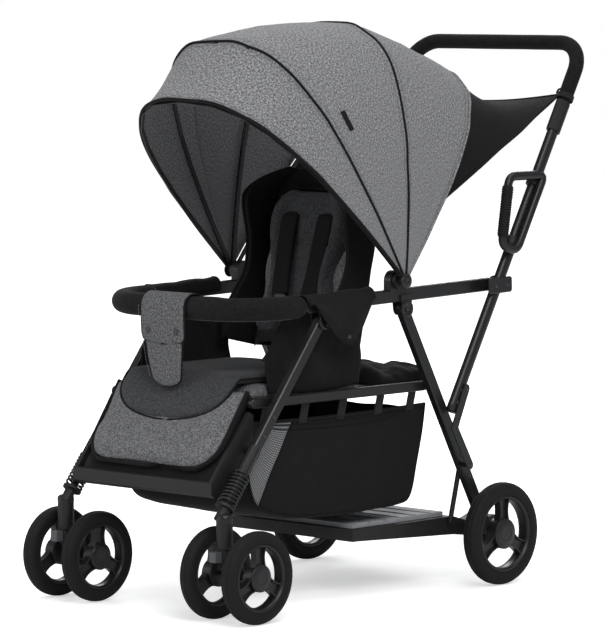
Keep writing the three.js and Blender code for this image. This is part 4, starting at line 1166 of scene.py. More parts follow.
class STROLLER_OT_canopy(StrollerOperator, bpy.types.Operator):
    """The hooped canopy: cloth drawn between its hoops, piping, binding and seams"""

    bl_idname = "stroller.canopy"
    bl_label = "Canopy"

    def execute(self, context):
        self.main_cloth()
        self.label()
        self.visor_cloth()
        self.piping()
        self.rear_shade()
        self.hub_caps()
        return {"FINISHED"}

    def surface(self, v, t, lift=0.0):
        """A point of the cloth. v counts hoops from the rear one, t runs across it."""
        k = min(int(v), 2)
        u = v - k
        a0, h0 = BOWS[BOW_ORDER[k]]
        a1, h1 = BOWS[BOW_ORDER[k + 1]]
        sink = sizes().cloth_slack * math.sin(math.pi * u) ** 0.9 * math.sin(math.pi * t)
        angle = a0 + (a1 - a0) * u
        height = h0 + (h1 - h0) * u
        point = arch(t, angle, height, 0.2262 + lift, 0.0034 + lift - sink)
        out = (point - HUB).normalized()
        slack = math.sin(math.pi * u)
        ripple = wobble(point, 17, 5) * 0.0035 + wobble(point, 42, 9) * 0.0012
        gathers = (0.0016 * math.sin(46 * t + 5 * wobble(point, 8, 2))
                   * abs(math.cos(math.pi * u)) ** 3)
        return point + out * (ripple * slack + gathers * (1 - abs(2 * t - 1) ** 4))

    def across(self, v, count, lift):
        """A row of points from side to side, closer together near the hubs."""
        return [self.surface(v, TIP + (1 - 2 * TIP) * (1 - math.cos(math.pi * j / count)) / 2,
                             lift) for j in range(count + 1)]

    def sheet(self, name, first, last, tuck=0.0):
        """A sheet from one hoop to another. What lies behind the front hoop is tucked in."""
        along = round(26 * (last - first))
        net = []
        for i in range(along + 1):
            v = first + (last - first) * i / along
            net.append(self.across(v, 96, -tuck * min(1.0, max(0.0, (2.0 - v) / 0.04))))
        return cloth(name, net, None, "canopy_cloth", "melange_cloth", 0.0012, -1, HUB)

    def main_cloth(self):
        piece = self.sheet("canopy_top", 0.0, 2.0)
        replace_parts(piece, "canopy_rear_panel")
        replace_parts(piece, "canopy_front_panel")
        self.follow_cloth(piece)

    def label(self):
        """A bare woven tab sewn flat on the cloth near the front hoop."""
        net = [[self.surface(1.770 + 0.055 * i / 6, 0.180 + 0.034 * j / 16, 0.0011)
                for j in range(17)] for i in range(7)]
        piece = cloth("canopy_label", net, None, "binding", "black_cloth", 0.0008, 1, HUB)
        self.follow_cloth(piece)

    def follow_cloth(self, piece):
        """Bakes a piece's transform into its mesh; the piece is attached to no body."""
        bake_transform(piece)

    def visor_cloth(self):
        """The visor's cloth, from just behind the front hoop to the visor hoop, tucked in behind
        the front hoop.
        """
        piece = self.sheet("canopy_visor", 1.76, 3.0, 0.0028)
        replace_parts(piece, "canopy_visor_panel")
        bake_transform(piece)

    def piping(self):
        """Piping over the hoops, black but the rear one in the canopy's cloth, with a stitched
        seam on each side of the mid and front ones and on one side of the rear and visor ones.
        """
        radius = sizes().piping_radius
        for name, body, v, share, seam_offsets in (
                ("rear", "canopy_base", 0.0, 0.9, (0.06,)),
                ("mid", None, 1.0, 1.0, (-0.055, 0.055)),
                ("front", "canopy_front", 2.0, 1.0, (-0.055, 0.055)),
                ("visor", "canopy_visor", LAST_V, 1.4, (-0.06,))):
            pieces = [tube_piece(f"piping_{name}", [self.across(v, 140, 0.0006)], radius * share,
                                 12, Z_AXIS, body,
                                 "canopy_cloth" if name == "rear" else "binding")]
            seams = [[self.surface(min(round(v) + offset, LAST_V), 0.04 + 0.92 * i / 200, 0.0004)
                      for i in range(201)] for offset in seam_offsets]
            pieces.append(stitches(f"stitches_{name}", seams, body, "stitch_dark", "black_cloth"))
            if body is None:
                for piece in pieces:
                    self.follow_cloth(piece)

    def rear_shade(self):
        """Black shade from the rear hoop back to a strap round each side of the handle."""
        clip = up_handle(HANDLE_TOP, FOAM_END + 16)
        across, down = 72, 26
        net = []
        for j in range(down + 1):
            v = j / down
            row = []
            for i in range(across + 1):
                u = i / across
                top = arch(0.10 + 0.80 * u, BOWS["rear"][0] + 1.2, BOWS["rear"][1], 0.221, -0.001)
                foot = place(SHADE_CORNER_X * (1 - 2 * u), *clip)
                foot.z -= 0.016 * math.sin(math.pi * u)
                p = top.lerp(foot, v)
                sag = 0.014 * math.sin(math.pi * v) * math.sin(math.pi * u)
                fold = 0.0022 * math.sin(14 * u + 3 * v) * math.sin(math.pi * v)
                p.z -= sag + fold + 0.003 * wobble(p, 11, 8) * math.sin(math.pi * v)
                p.x += 0.004 * wobble(p, 12, 3) * math.sin(math.pi * v)
                row.append(p)
            net.append(row)
        piece = cloth("rear_shade_cloth", net, "canopy_base", "shade_cloth", "black_cloth",
                      0.001, -1)
        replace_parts(piece, "rear_shade")
        edges = [net[-1]] + [[row[i] for row in net] for i in (0, -1)]
        tube_piece("rear_shade_hem", edges, 0.0022, 10, Z_AXIS, "canopy_base")
        self.shade_clips(clip)

    def shade_clips(self, clip):
        """A webbing loop round the foam's end and a hook on each corner of the shade."""
        width, thickness = 0.011, 0.0016
        for side, s in SIDES:
            centre = place(s * HANDLE_X, *up_handle(clip, -6))
            loop = oval(centre, X_AXIS, HANDLE_FRONT, 0.0162, 0.0162, 36)
            corner = place(s * SHADE_CORNER_X, *clip)
            tail = resample([corner, corner.lerp(centre, 0.5), centre - X_AXIS * (s * 0.0155)],
                            0.003)
            bm = bmesh.new()
            strap(bm, loop + loop[:1], width, thickness, HANDLE_LINE)
            strap(bm, tail, width, thickness, HANDLE_LINE)
            face_outwards(bm)
            new_object(f"shade_strap_{side}", bm, "handle", "webbing", "black_cloth")
            hook = smooth_path([corner + Vector(q) for q in (
                (-s * 0.004, -0.004, 0.002), (0, -0.002, 0.010), (s * 0.008, 0.004, 0.011),
                (s * 0.011, 0.006, 0.003))], 6)
            tube_piece(f"shade_hook_{side}", [hook], 0.002, 12, Y_AXIS, "handle",
                       "gloss_nylon", "plastic")

    def hub_caps(self):
        """The cloth's tip tucks under a round moulded cap on each hub."""
        for side, s in SIDES:
            bm = bmesh.new()
            turned(bm, [(0.0004, 0.0), (0.0135, 0.0), (0.0145, 0.001), (0.0140, 0.0026),
                        (0.0105, 0.0042), (0.0060, 0.0048), (0.0004, 0.0050)],
                   Vector((0, HUB.y, HUB.z)), 40)
            for v in bm.verts:
                v.co.x = s * (0.2268 + v.co.x)
            face_outwards(bm)
            new_object(f"hub_cap_{side}", bm, "canopy_base", "gloss_nylon", "plastic")


BACK_FOOT = place(0, -285, 402)
BACK_RISE, BACK_NORMAL = Vector((0, 0.2042, 0.9789)), Vector((0, -0.9789, 0.2042))
SEAT_PAD = ("seat_cloth", "melange_cloth")
LINER = ("insert_cloth", "black_cloth")


class STROLLER_OT_seat(StrollerOperator, bpy.types.Operator):
    """The front seat's cloth shell, cushions, calf rest and harness, and the rear bench"""

    bl_idname = "stroller.seat"
    bl_label = "Seat"

    def execute(self, context):
        self.shell()
        self.backrest()
        self.insert()
        self.cushion()
        self.calf_rest()
        self.side_walls()
        self.bench()
        self.harness()
        return {"FINISHED"}

    def on_back(self, x, up, out):
        """A point seen from the back's foot: across, up the back and out from it."""
        return BACK_FOOT + X_AXIS * x + BACK_RISE * up + BACK_NORMAL * out

    def wing_reach(self, up):
        """How far the shell's side wings stand forward, at a height up the back."""
        return 0.066 + 0.026 * math.cos(2 * math.pi * (up - 0.08) / 0.26) * (1 - up / 0.6)

    def shell(self):
        """Black cloth shell: a bucket with soft wings, open at the front."""
        across, along = 60, 44
        floor_share, bend_share, end_share = 0.55, 0.13, 0.32
        nets = []
        for skin in (0.0, 0.011):
            net = []
            for j in range(along + 1):
                v = j / along
                up = 0.050 + 0.342 * v
                near_top = max(0.0, (v - 0.80) / 0.20)
                half = 0.139 * (1 - 0.34 * near_top ** 2.6)
                depth = self.wing_reach(up) * (1 - 0.80 * near_top ** 1.5)
                row = []
                for i in range(across + 1):
                    u = 2 * i / across - 1
                    side = abs(u)
                    if side < floor_share:
                        x, out = half * side / floor_share * 0.94, -0.004
                    elif side < floor_share + bend_share:
                        turn = (side - floor_share) / bend_share * math.pi / 2
                        x = half * (0.94 + 0.06 * math.sin(turn))
                        out = -0.004 + half * 0.08 * (1 - math.cos(turn))
                    else:
                        run = (side - floor_share - bend_share) / end_share
                        x = half - 0.006 * run
                        out = -0.004 + half * 0.08 + depth * run
                    upright = min(1.0, max(0.0, (side - 0.5) / 0.12))
                    p = self.on_back(math.copysign(x - skin * upright, u), up,
                                     out + skin * (1 - upright))
                    p += Vector((0.004, 0.003, 0)) * wobble(p, 15, 5) * min(1, side * 1.4)
                    row.append(p)
                net.append(row)
            nets.append(net)
        bm = bmesh.new()
        join_skins(bm, *nets)
        piece = new_object("back_shell", bm, "backrest", "black_pad", "black_cloth")
        subdivide(piece)
        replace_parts(piece, "backrest_board")
        for side, column in (("left", -1), ("right", 0)):
            self.edge_piping(f"shell_piping_{side}", [row[column] for row in nets[0]],
                             "backrest", 0.0028)

    def backrest(self):
        """Grey cloth lining of the back, quilted, between the wings."""
        low, length = 0.050, 0.298

        def width_at(v):
            return 0.121 - 0.014 * v ** 5

        def depth_at(u, v):
            edge = rounded(2 * v - 1, 10) * rounded(u, 10)
            return 0.010 + edge * (0.014 + 0.004 * math.sin(math.pi * v * 3) ** 2)

        bm = pad_surface(lambda x, up, out: self.on_back(x, low + up, out), width_at, length,
                         depth_at, lambda u, v: 0.0078, 44, 52)
        pad_piece("backrest_pad", bm, "backrest", SEAT_PAD, (0.005, 3.0, 0.007),
                  "backrest_cushion")

    def insert(self):
        """Charcoal liner on the back: broad at head and hips, narrower between, and piped."""
        low, length = 0.060, 0.292

        def width_at(v):
            near_top = max(0.0, (v - 0.80) / 0.20)
            return (0.096 + 0.013 * math.cos(2 * math.pi * (v - 0.78) / 0.78)
                    ) * (1 - 0.34 * near_top ** 2.6)

        def front(u, v):
            edge = rounded(2 * v - 1, 8) * rounded(u, 8)
            bolster = max(0.0, abs(u) - 0.5) / 0.5
            return 0.027 + edge * (0.009 + 0.017 * math.sin(math.pi * bolster) ** 2)

        bm = pad_surface(lambda x, up, out: self.on_back(x, low + up, out), width_at, length,
                         front, lambda u, v: 0.0262 - 0.0012 * rounded(u, 8)
                         * rounded(2 * v - 1, 8), 56, 60)
        pad_piece("liner_back", bm, "backrest", LINER, (0.004, 2.0, 0.004),
                  shape=lambda piece: self.channels(piece, (low + 0.080, low + 0.185), 0.004))
        rim = [self.on_back(s * width_at(v), low + v * length, 0.0275)
               for s, v in edges_down(60)]
        self.edge_piping("liner_piping_back", rim, "backrest", 0.0022)

    def channels(self, piece, heights, depth):
        """Draws the cloth of the back in along straight seams across it."""
        reach, clear = 0.007, 0.010
        for vertex in piece.data.vertices:
            local = vertex.co - BACK_FOOT
            out, up = local.dot(BACK_NORMAL), local.dot(BACK_RISE)
            for height in heights:
                away = abs(up - height)
                if out >= clear and away < reach:
                    vertex.co -= (BACK_NORMAL * depth * (1 - away / reach) ** 2
                                  * min(1, (out - clear) / clear))

    def edge_piping(self, name, path, body, radius):
        tube_piece(name, [smooth_path(path, 2)], radius, 10, X_AXIS, body)

    def cushion(self):
        """Seat cushion in grey cloth, with the charcoal liner sewn over its middle."""
        front, rear = place(0, -590, 389), place(0, -302, 389)
        length = rear.y - front.y

        def depth_at(u, v):
            edge = rounded(2 * v - 1, 8) * rounded(u, 6)
            return 0.008 + edge * (0.012 + 0.004 * math.exp(-((v - 0.12) / 0.1) ** 2))

        bm = pad_surface(lambda x, up, out: front + Vector((x, up, out)),
                         lambda v: 0.164 - 0.003 * math.sin(math.pi * v), length,
                         depth_at, lambda u, v: 0.0008, 44, 40)
        pad_piece("seat_pad", bm, "seat", SEAT_PAD, (0.005, 3.0, 0.005), "seat_cushion")
        self.seat_liner(length)

    def seat_liner(self, length):
        """The liner runs from the back of the seat, over its front edge, to a round tongue."""
        slope = (place(0, -684, 262) - place(0, -590, 396)).normalized()
        lip = place(0, -594, 420)
        flat, over = length - 0.012, 0.098
        total = flat + over

        def path(run):
            if run < flat:
                return lip + Vector((0, flat - run, 0)), Z_AXIS
            turn = min(1.0, (run - flat) / 0.030)
            face = Vector((0, -math.sin(turn * 0.95), math.cos(turn * 0.95)))
            down = max(0.0, run - flat - 0.015)
            return (lip + Vector((0, -0.012 * turn, -0.006 * turn * turn))
                    + slope * down), face.normalized()

        def half_at(v):
            near_end = max(0.0, (v - 0.70) / 0.30)
            return 0.143 * max(0.02, 1 - near_end ** 3.6) ** 0.5

        def spot(x, run, out):
            at, face = path(run)
            return at + X_AXIS * x + face * out

        bm = pad_surface(spot, half_at, total,
                         lambda u, v: 0.004 + 0.0075 * rounded(u, 8) * rounded(2 * v - 1, 14),
                         lambda u, v: -0.001, 44, 64)
        pad_piece("liner_seat", bm, "seat", LINER, (0.004, 2.0, 0.003))
        rim = [spot(s * half_at(v), v * total, 0.0050) for s, v in edges_down(60)]
        self.edge_piping("liner_piping_seat", rim, "seat", 0.002)

    def calf_rest(self):
        """A sloped panel with round lower corners and a black bound edge."""
        head, foot = place(0, -594, 399), place(0, -688, 264)
        down, total = (foot - head).normalized(), (foot - head).length
        face = Vector((0, down.z, -down.y))

        def width_at(v):
            near = max(0.0, (v - 0.58) / 0.42)
            return 0.1630 - 0.060 * (1 - max(0.0, 1 - near ** 2.6) ** 0.5)

        def depth_at(u, v):
            return 0.010 + 0.010 * rounded(2 * v - 1, 12) * rounded(u, 10)

        def spot(x, run, out):
            return head + down * run + face * out + X_AXIS * x

        bm = pad_surface(spot, width_at, total, depth_at, lambda u, v: 0.0, 44, 44)
        pad_piece("calf_pad", bm, "seat", SEAT_PAD, (0.005, 2.0, 0.004), "calf_rest")
        rim = [spot(s * (width_at(v) + 0.0015), v * total, 0.009) for s, v in edges_down(40)]
        self.edge_piping("calf_binding", rim, "seat", 0.0046)
        back = pad_surface(spot, lambda v: 0.1640, total + 0.020, lambda u, v: -0.0004,
                           lambda u, v: -0.0030, 12, 24)
        backing = new_object("calf_backing", back, "seat", "black_pad", "black_cloth")

    def side_walls(self):
        """Cloth sides from the seat's rails up to the armrests, with a snapped flap."""
        low = [(-544, 398), (-490, 394), (-430, 392), (-370, 393), (-304, 400)]
        high = [(-549, 455), (-503, 528), (-430, 546), (-370, 545), (-314, 538)]
        for side, s in SIDES:
            feet = smooth_path([place(s * 162, *q) for q in low], 12)
            tops = smooth_path([place(s * 160, *q) for q in high], 12)
            net = []
            for a, b in zip(feet, tops):
                row = []
                for j in range(29):
                    w = j / 28
                    p = a.lerp(b, w)
                    slack = math.sin(math.pi * w)
                    folds = wobble(Vector((0, p.y + 0.5 * p.z, 0.3 * p.z)), 17, 3)
                    p.x += s * slack * (0.005 + 0.011 * folds + 0.003 * wobble(p, 45, 5))
                    row.append(p)
                net.append(row)
            piece = cloth(f"seat_wall_{side}", net, "seat", "black_cloth", "black_cloth", 0.002)
            edge = net[0] + [row[-1] for row in net[1:]]
            self.edge_piping(f"wall_binding_{side}", resample(edge, 0.006), "seat", 0.0024)
            self.armrest_flap(side, s)

    def armrest_flap(self, side, s):
        """Cloth folded over the armrest's front half, with a pointed flap snapped outside."""
        foot = [(-494, 566), (-482, 560), (-451, 526), (-412, 491), (-389, 482), (-368, 493),
                (-346, 523), (-327, 552), (-318, 562)]
        lower = smooth_path([place(s * 218, *q) for q in foot], 6)
        net = []
        for b in lower:
            y = b.y
            crown = 0.566 + 0.028 * (y - AXLE_Y + 0.478)
            over = [(0.1825, -0.016), (0.1830, -0.006), (0.1850, 0.002), (0.1900, 0.0065),
                    (0.1970, 0.0085), (0.2050, 0.0075), (0.2120, 0.002), (0.2155, -0.008)]
            row = [Vector((s * x, y, crown + z)) for x, z in over]
            for p in row[2:7]:
                p.z += 0.003 * wobble(Vector((0, y, 0)), 30, 7)
            top = row[-1]
            for j in range(1, 17):
                w = j / 16
                p = top.lerp(b, w)
                p.x += s * (0.004 * math.sin(math.pi * w)
                            + 0.004 * wobble(Vector((0, p.y - 0.6 * p.z, 0.4 * p.z)), 22, 6) * w)
                row.append(p)
            net.append(row)
        piece = cloth(f"armrest_flap_{side}", net, "armrests", "black_cloth", "black_cloth",
                      0.0016)
        hem = net[0][:-1] + [row[-1] for row in net] + net[-1][-2::-1]
        tube_piece(f"armrest_flap_hem_{side}", [resample(hem, 0.004)], 0.0019, 10, X_AXIS,
                   "armrests")
        heads(f"armrest_snap_{side}", [(place(s * 219.5, -391, 496), X_AXIS * s)], "armrests",
              *SNAP)

    def bench(self):
        """The rear child's black bench pad, loosely covered."""
        low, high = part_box("bench_seat")
        origin = Vector((0, low.y, low.z))
        length, half = high.y - low.y, high.x

        def depth_at(u, v):
            edge = rounded(2 * v - 1, 8) * rounded(u, 10)
            at = Vector((u * 0.14, v * 0.19, 0))
            fold = 0.011 * wobble(at, 19, 5) + 0.006 * wobble(at, 44, 6)
            return 0.012 + edge * (high.z - low.z - 0.013 + fold)

        bm = pad_surface(lambda x, up, out: origin + Vector((x, up, out)),
                         lambda v: half - 0.003, length - 0.002, depth_at,
                         lambda u, v: 0.002, 44, 30)
        pad_piece("bench_pad", bm, "seat", ("black_pad", "black_cloth"), (0.005, 2.0, 0.004),
                  "bench_seat")

    def harness(self):
        """Shoulder straps with pads, a crotch strap, a buckle and length adjusters."""
        strap_bm, pad_bm, hard_bm = bmesh.new(), bmesh.new(), bmesh.new()
        webbing_size, cover_size, slider_size = (0.025, 0.0016), (0.042, 0.009), (0.034, 0.005)
        for _, s in SIDES:
            spine = smooth_path([self.on_back(s * x, up, out) for x, up, out in (
                (0.046, 0.322, 0.018), (0.046, 0.300, 0.041), (0.044, 0.240, 0.047),
                (0.040, 0.170, 0.050), (0.026, 0.105, 0.056), (0.012, 0.078, 0.060))], 8)
            strap(strap_bm, spine, *webbing_size, X_AXIS)
            strap(pad_bm, spine[8:28], *cover_size, X_AXIS)
            waist = smooth_path([self.on_back(s * x, up, out) for x, up, out in (
                (0.112, 0.058, 0.022), (0.080, 0.062, 0.046), (0.016, 0.070, 0.060))], 8)
            strap(strap_bm, waist, *webbing_size, BACK_RISE)
        crotch = smooth_path([place(0, -392, 418), place(0, -378, 440),
                              self.on_back(0, 0.062, 0.062)], 8)
        strap(strap_bm, crotch, *webbing_size, X_AXIS)
        centre = self.on_back(0, 0.074, 0.062)
        for radius, depth, lift in ((0.0165, 0.010, 0.0), (0.0065, 0.004, 0.006)):
            add_rings(hard_bm, [
                oval(centre + BACK_NORMAL * (lift + out * depth), X_AXIS, BACK_RISE,
                     radius * share, radius * share * 0.86, 32)
                for out, share in ((-0.5, 0.8), (-0.45, 0.97), (0.1, 1.0), (0.42, 0.93),
                                   (0.5, 0.78))], uv=False)
        for _, s in SIDES:
            at = self.on_back(s * 0.034, 0.135, 0.054)
            strap(hard_bm, [at - BACK_RISE * 0.012, at, at + BACK_RISE * 0.012], *slider_size,
                  X_AXIS)
        for name, bm, material, slot in (
                ("harness_straps", strap_bm, "webbing", "black_cloth"),
                ("shoulder_pads", pad_bm, "black_pad", "black_cloth"),
                ("harness_buckle", hard_bm, "gloss_nylon", "plastic")):
            face_outwards(bm)
            piece = new_object(name, bm, "backrest", material, slot)
            if name == "harness_straps":
                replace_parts(piece, "harness")
            else:
                subdivide(piece)


BUMPER_FRONT = (-628, 552)


class STROLLER_OT_bumper(StrollerOperator, bpy.types.Operator):
    """The padded bumper bar and the cloth flap that hangs from it"""

    bl_idname = "stroller.bumper"
    bl_label = "Bumper"

    def execute(self, context):
        start, front, bend, x_out = -490.4, -628.0, 105.0, 191.0
        foot_z, front_z = 554, BUMPER_FRONT[1]
        slope = (front_z - foot_z) / (start - front)

        half = [place(x_out, start, foot_z)]
        for k in range(17):
            a = math.pi / 2 * k / 16
            y = front + bend - bend * math.sin(a)
            half.append(place(x_out - bend * (1 - math.cos(a)), y, foot_z + (start - y) * slope))
        path = resample(half + [other_side(p) for p in reversed(half)], 0.006)
        radius = sizes().bumper_radius
        radii = uneven(path, radius, 0.80, 0.1, 0.012, 24, 4)
        bar = tube_piece("bumper_pad", [path], radii, 32, Z_AXIS, "bumper", "bumper_foam", "foam")
        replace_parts(bar, "bumper_bar")
        seam = [p - Z_AXIS * (r + 0.0002) for p, r in zip(path[4:-4], radii[4:-4])]
        stitches("bumper_seam", [seam], "bumper", "stitch_grey", "melange_cloth")
        self.flap(radius)
        return {"FINISHED"}

    def flap(self, radius):
        """A tongue hangs from the bar; a shorter flap over it closes with two snaps."""
        self.layer("bumper_tongue", radius + 0.0014, 0.144, 0.048, 0.034, 0.40, 0.0022)
        last = self.layer("bumper_flap", radius + 0.0042, 0.066, 0.055, 0.050, 0.72, 0.0024)
        heads("flap_snaps", [(last + Vector((s * 0.036, -0.0020, -0.043)), -Y_AXIS)
                             for s in (-1, 1)], "bumper", *SNAP)

    def layer(self, name, wrap, drop, wide, narrow, taper, thick):
        """Cloth round the bar and down in front of it, narrowing from a share of its drop."""
        top = place(0, *BUMPER_FRONT)
        turns, falls = 18, 26
        outline = []
        for k in range(turns + 1):
            a = math.radians(-35 + 215 * k / turns)
            outline.append((top + Vector((0, wrap * math.cos(a), wrap * math.sin(a))), wide, 0.0))
        last = outline[-1][0]
        for k in range(1, falls + 1):
            u = k / falls
            run = max(0.0, (u - taper) / (1 - taper))
            half = wide - (wide - narrow) * run ** 1.2
            tip = max(0.0, (u - 0.86) / 0.14)
            half *= max(0.05, 1 - tip ** 3) ** 0.5
            outline.append((last + Vector((0, 0.010 * u * u * drop / 0.146, -drop * u)), half, u))
        rows = []
        for centre, half, u in outline:
            row = []
            for i in range(25):
                s = 2 * i / 24 - 1
                p = centre + X_AXIS * (s * half)
                p.y -= 0.004 * u * (1 - s * s) + 0.0016 * wobble(p, 26, 6) * u
                row.append(p)
            rows.append(row)
        piece = cloth(name, rows, "bumper", "flap_cloth", "melange_cloth", thick)
        edge = [r[0] for r in rows] + rows[-1][1:-1] + [r[-1] for r in reversed(rows)]
        tube_piece(f"{name}_piping", [resample(edge, 0.004)], 0.0017, 10, Y_AXIS, "bumper")
        seams = [[row[column] + Vector((-0.006, -0.0016, 0)) for row in rows[turns:-3]]
                 for column in (0, -1)]
        stitches(f"{name}_stitches", seams, "bumper", "stitch_grey", "melange_cloth")
        return last


NET_WINDOW = (-546, -474)  # from front to back, along the basket's side


class STROLLER_OT_basket(StrollerOperator, bpy.types.Operator):
    """The cloth basket under the seat rails, with a net window in each side"""

    bl_idname = "stroller.basket"
    bl_label = "Basket"

    def execute(self, context):
        profile = [(-602, 338), (-598, 290), (-586, 215), (-560, 180), (-500, 163), (-440, 156),
                   (-300, 154), (-190, 156), (-156, 170), (-138, 230), (-122, 290), (-114, 338)]
        path = smooth_path([place(0, *q) for q in profile], 5)
        half = 0.157
        rows = []
        for k, p in enumerate(path):
            v = k / (len(path) - 1)
            row = []
            for i in range(41):
                u = 2 * i / 40 - 1
                q = Vector((u * half, p.y, p.z))
                q.z += 0.004 * wobble(q, 12, 3) + 0.007 * abs(u) ** 6
                q.y += 0.003 * wobble(q, 14, 7) * math.sin(math.pi * v)
                row.append(q)
            rows.append(row)
        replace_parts(self.panel("basket_floor", rows), "basket")
        for side, s in SIDES:
            self.side_wall(side, s, rows)
            self.hangers(side, s)
        return {"FINISHED"}

    def panel(self, name, rows, material="black_cloth"):
        piece = cloth(name, rows, "seat", material, "black_cloth", 0.0012)
        return piece

    def side_wall(self, side, s, rows):
        edge = [row[-1 if s > 0 else 0] for row in rows]
        top_z = edge[0].z
        net = []
        for k, foot in enumerate(edge):
            v = k / (len(edge) - 1)
            head_y = edge[0].y + (edge[-1].y - edge[0].y) * v
            row = []
            for j in range(19):
                w = j / 18
                p = foot.lerp(Vector((foot.x, head_y, top_z)), w)
                bulge = math.sin(math.pi * w) * math.sin(math.pi * v)
                p.x += s * bulge * (0.006 * wobble(p, 11, 4) + 0.002 * wobble(p, 36, 5) - 0.002)
                p.z -= 0.004 * math.sin(math.pi * v) * w
                row.append(p)
            net.append(row)
        window = [k for k, row in enumerate(net)
                  if NET_WINDOW[0] < (row[-1].y - AXLE_Y) * 1000 < NET_WINDOW[1]]
        start, end = window[0], window[-1]
        self.panel(f"basket_front_{side}", net[:start + 1])
        self.panel(f"basket_window_{side}", net[start:end + 1], "basket_net")
        self.panel(f"basket_side_{side}", net[end:])
        bm = bmesh.new()
        tube(bm, resample([row[-1] for row in net], 0.008), 0.0034, 10, Z_AXIS)
        tube(bm, resample(edge, 0.008), 0.0021, 10, X_AXIS)
        for row in (2, 3):
            seam = [points[-row] + X_AXIS * (s * 0.0012) for points in net]
            tube(bm, resample(seam, 0.008), 0.0009, 6, Z_AXIS)
        face_outwards(bm)
        new_object(f"basket_binding_{side}", bm, "seat", "binding", "black_cloth")

    def hangers(self, side, s):
        """Webbing loops from the hem up to the rail."""
        bm = bmesh.new()
        for y in (-556, -452, -350, -248, -160):
            foot, head = place(s * 158, y, 336), place(s * 166.6, y, 372)
            path = [foot, foot.lerp(head, 0.4), head, place(s * 167.2, y, 392)]
            strap(bm, resample(path, 0.006), 0.022, 0.0014, Y_AXIS)
        face_outwards(bm)
        new_object(f"basket_hangers_{side}", bm, "seat", "webbing", "black_cloth")


class STROLLER_OT_folds(StrollerOperator, bpy.types.Operator):
    """Gives the soft goods round the fold meshes of their own; the axes, anchors and shares listed
    are not used
    """

    bl_idname = "stroller.folds"
    bl_label = "Folds"

    def execute(self, context):
        bow_normal = Vector((0, 0.788, -0.6157))
        groups = (
            (("back_shell", "shell_piping", "backrest_pad", "liner_back", "liner_piping_back",
              "harness_straps", "shoulder_pads"),
             BACK_NORMAL, BACK_FOOT, 0.25),
            (("seat_pad", "liner_seat", "liner_piping_seat"), Z_AXIS, place(0, -450, 393), 0.55),
            (("basket_",), Z_AXIS, place(0, -350, 345), 0.15),
            (("rear_shade",), bow_normal, HUB + bow_normal * 0.004, 0.4),
            (("bumper_tongue", "bumper_flap", "flap_snaps"), Z_AXIS,
             place(0, *BUMPER_FRONT), 0.35),
        )
        for names, axis, anchor, keep in groups:
            found = [piece for piece in bpy.data.objects
                     if piece.type == "MESH" and piece.name.startswith(names)
                     and piece.name not in NODES and "hangers" not in piece.name]
            if not found:
                raise RuntimeError(f"no piece is named {names[0]}")
            for piece in found:
                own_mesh(piece)
        return {"FINISHED"}


# The photograph's camera, as worked out from the wheels and the frame.
LENS, AZIMUTH, PITCH = 228.66, 43.2955, 4.6992
CAMERA_PLACE = (5.2261, AXLE_Y - 5.831, 1.1329)
# Each lamp's place, size and power.
LAMPS = {
    "key": ((3.4, -2.4, 3.6), 2.6, 120),
    "fill": ((-2.2, -4.2, 2.0), 3.4, 50),
    "rim": ((-2.6, 3.0, 3.2), 2.4, 70),
    "top": ((0.4, 0.2, 4.2), 3.2, 60),
}


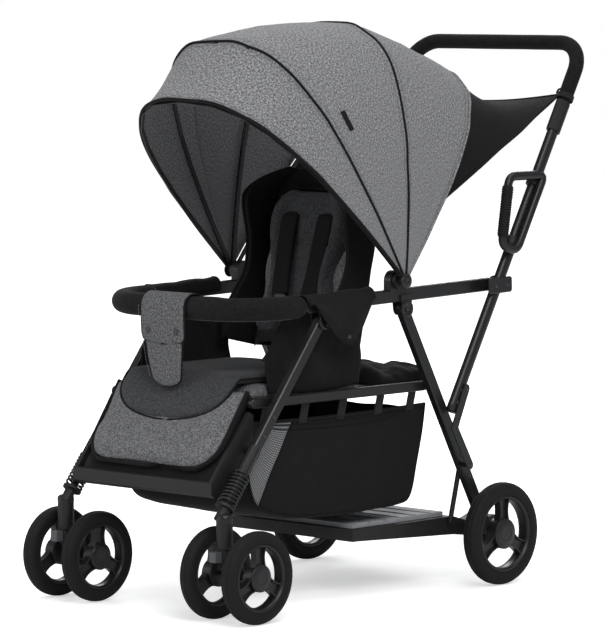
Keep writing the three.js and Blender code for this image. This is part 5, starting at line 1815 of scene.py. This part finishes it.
class STROLLER_OT_stage(StrollerOperator, bpy.types.Operator):
    """Camera at the photo's place, a pale floor, a white backdrop and soft lamps"""

    bl_idname = "stroller.stage"
    bl_label = "Stage"

    def execute(self, context):
        self.camera()
        self.floor()
        self.lamps()
        self.world()
        context.scene.view_settings.view_transform = "Standard"
        return {"FINISHED"}

    def camera(self):
        data = bpy.data.cameras.new("camera")
        data.sensor_fit = "VERTICAL"
        data.sensor_height = 36
        data.lens = LENS
        data.clip_end = 60
        camera = add_object("camera", data)
        camera.location = CAMERA_PLACE
        camera.rotation_euler = (math.pi / 2 - math.radians(PITCH), 0, math.radians(AZIMUTH))
        bpy.context.scene.camera = camera

    def floor(self):
        """A pale floor that glows to pure white away from the object, for the camera only."""
        bm = bmesh.new()
        corners = [(-14, -8), (8, -14), (14, 8), (-8, 14)]
        bm.faces.new([bm.verts.new((x, y, 0)) for x, y in corners])
        mesh = bpy.data.meshes.new("floor")
        bm.to_mesh(mesh)
        bm.free()
        floor = add_object("floor", mesh)
        material = bpy.data.materials.new("floor")
        material.use_nodes = True
        nodes = Nodes(material.node_tree)
        seen = nodes.node("ShaderNodeLightPath").outputs["Is Camera Ray"]
        spot = nodes.node("ShaderNodeTexCoord").outputs["Object"]
        reach = nodes.node("ShaderNodeVectorMath", {0: spot}, operation="LENGTH")
        glow = nodes.node("ShaderNodeMapRange", {
            "Value": reach.outputs["Value"], "From Min": 0.5, "From Max": 3.0, "To Min": 0.5,
            "To Max": 1.0})
        light = nodes.node("ShaderNodeMath", {0: glow.outputs[0], 1: seen},
                           operation="MULTIPLY")
        nodes.set(material.node_tree.nodes["Principled BSDF"], {
            "Base Color": (0.9, 0.9, 0.9, 1), "Roughness": 0.85,
            "Emission Color": (1, 1, 1, 1), "Emission Strength": light.outputs[0]})
        mesh.materials.append(material)

    def lamps(self):
        target = Vector((0, 0, 0.55))
        for name, (spot, size, power) in LAMPS.items():
            data = bpy.data.lights.new(name, "AREA")
            data.shape = "DISK"
            data.size = size
            data.energy = power
            lamp = add_object(name, data)
            lamp.location = spot
            lamp.rotation_euler = (target - Vector(spot)).to_track_quat("-Z", "Y").to_euler()

    def world(self):
        """A white backdrop for the camera, and a soft cool light for everything else."""
        world = bpy.data.worlds.new("studio")
        bpy.context.scene.world = world
        world.use_nodes = True
        world.node_tree.nodes.clear()
        nodes = Nodes(world.node_tree)
        seen = nodes.node("ShaderNodeLightPath").outputs["Is Camera Ray"]
        soft = nodes.node("ShaderNodeBackground", {"Color": (0.86, 0.88, 0.92, 1),
                                                   "Strength": 0.4})
        white = nodes.node("ShaderNodeBackground", {"Color": (1, 1, 1, 1)})
        blend = nodes.node("ShaderNodeMixShader", {0: seen, 1: soft.outputs[0],
                                                   2: white.outputs[0]})
        nodes.node("ShaderNodeOutputWorld", {"Surface": blend.outputs[0]})


class STROLLER_PT_panel(bpy.types.Panel):
    """The stroller's operators, colours and sizes"""

    bl_idname = "STROLLER_PT_panel"
    bl_label = "Stroller"
    bl_space_type = "VIEW_3D"
    bl_region_type = "UI"
    bl_category = "Stroller"

    def draw(self, context):
        layout = self.layout
        for operator in OPERATORS:
            layout.operator(operator.bl_idname)
        for group in (context.scene.stroller_sizes, context.scene.stroller_colours):
            box = layout.box()
            for key in group.__annotations__:
                box.prop(group, key)


OPERATORS = (STROLLER_OT_frame, STROLLER_OT_wheels, STROLLER_OT_suspension, STROLLER_OT_handle,
             STROLLER_OT_canopy, STROLLER_OT_seat, STROLLER_OT_bumper, STROLLER_OT_basket,
             STROLLER_OT_folds, STROLLER_OT_stage)
CLASSES = (StrollerColours, StrollerSizes) + OPERATORS + (STROLLER_PT_panel,)


def register():
    for cls in CLASSES:
        bpy.utils.register_class(cls)
    bpy.types.Scene.stroller_colours = bpy.props.PointerProperty(type=StrollerColours)
    bpy.types.Scene.stroller_sizes = bpy.props.PointerProperty(type=StrollerSizes)


def unregister():
    del bpy.types.Scene.stroller_sizes
    del bpy.types.Scene.stroller_colours
    for cls in reversed(CLASSES):
        bpy.utils.unregister_class(cls)


def main():
    register()
    bpy.ops.stroller.frame()
    bpy.ops.stroller.wheels()
    bpy.ops.stroller.suspension()
    bpy.ops.stroller.handle()
    bpy.ops.stroller.canopy()
    bpy.ops.stroller.seat()
    bpy.ops.stroller.bumper()
    bpy.ops.stroller.basket()
    bpy.ops.stroller.folds()
    bpy.ops.stroller.stage()


if __name__ == "__main__":
    main()
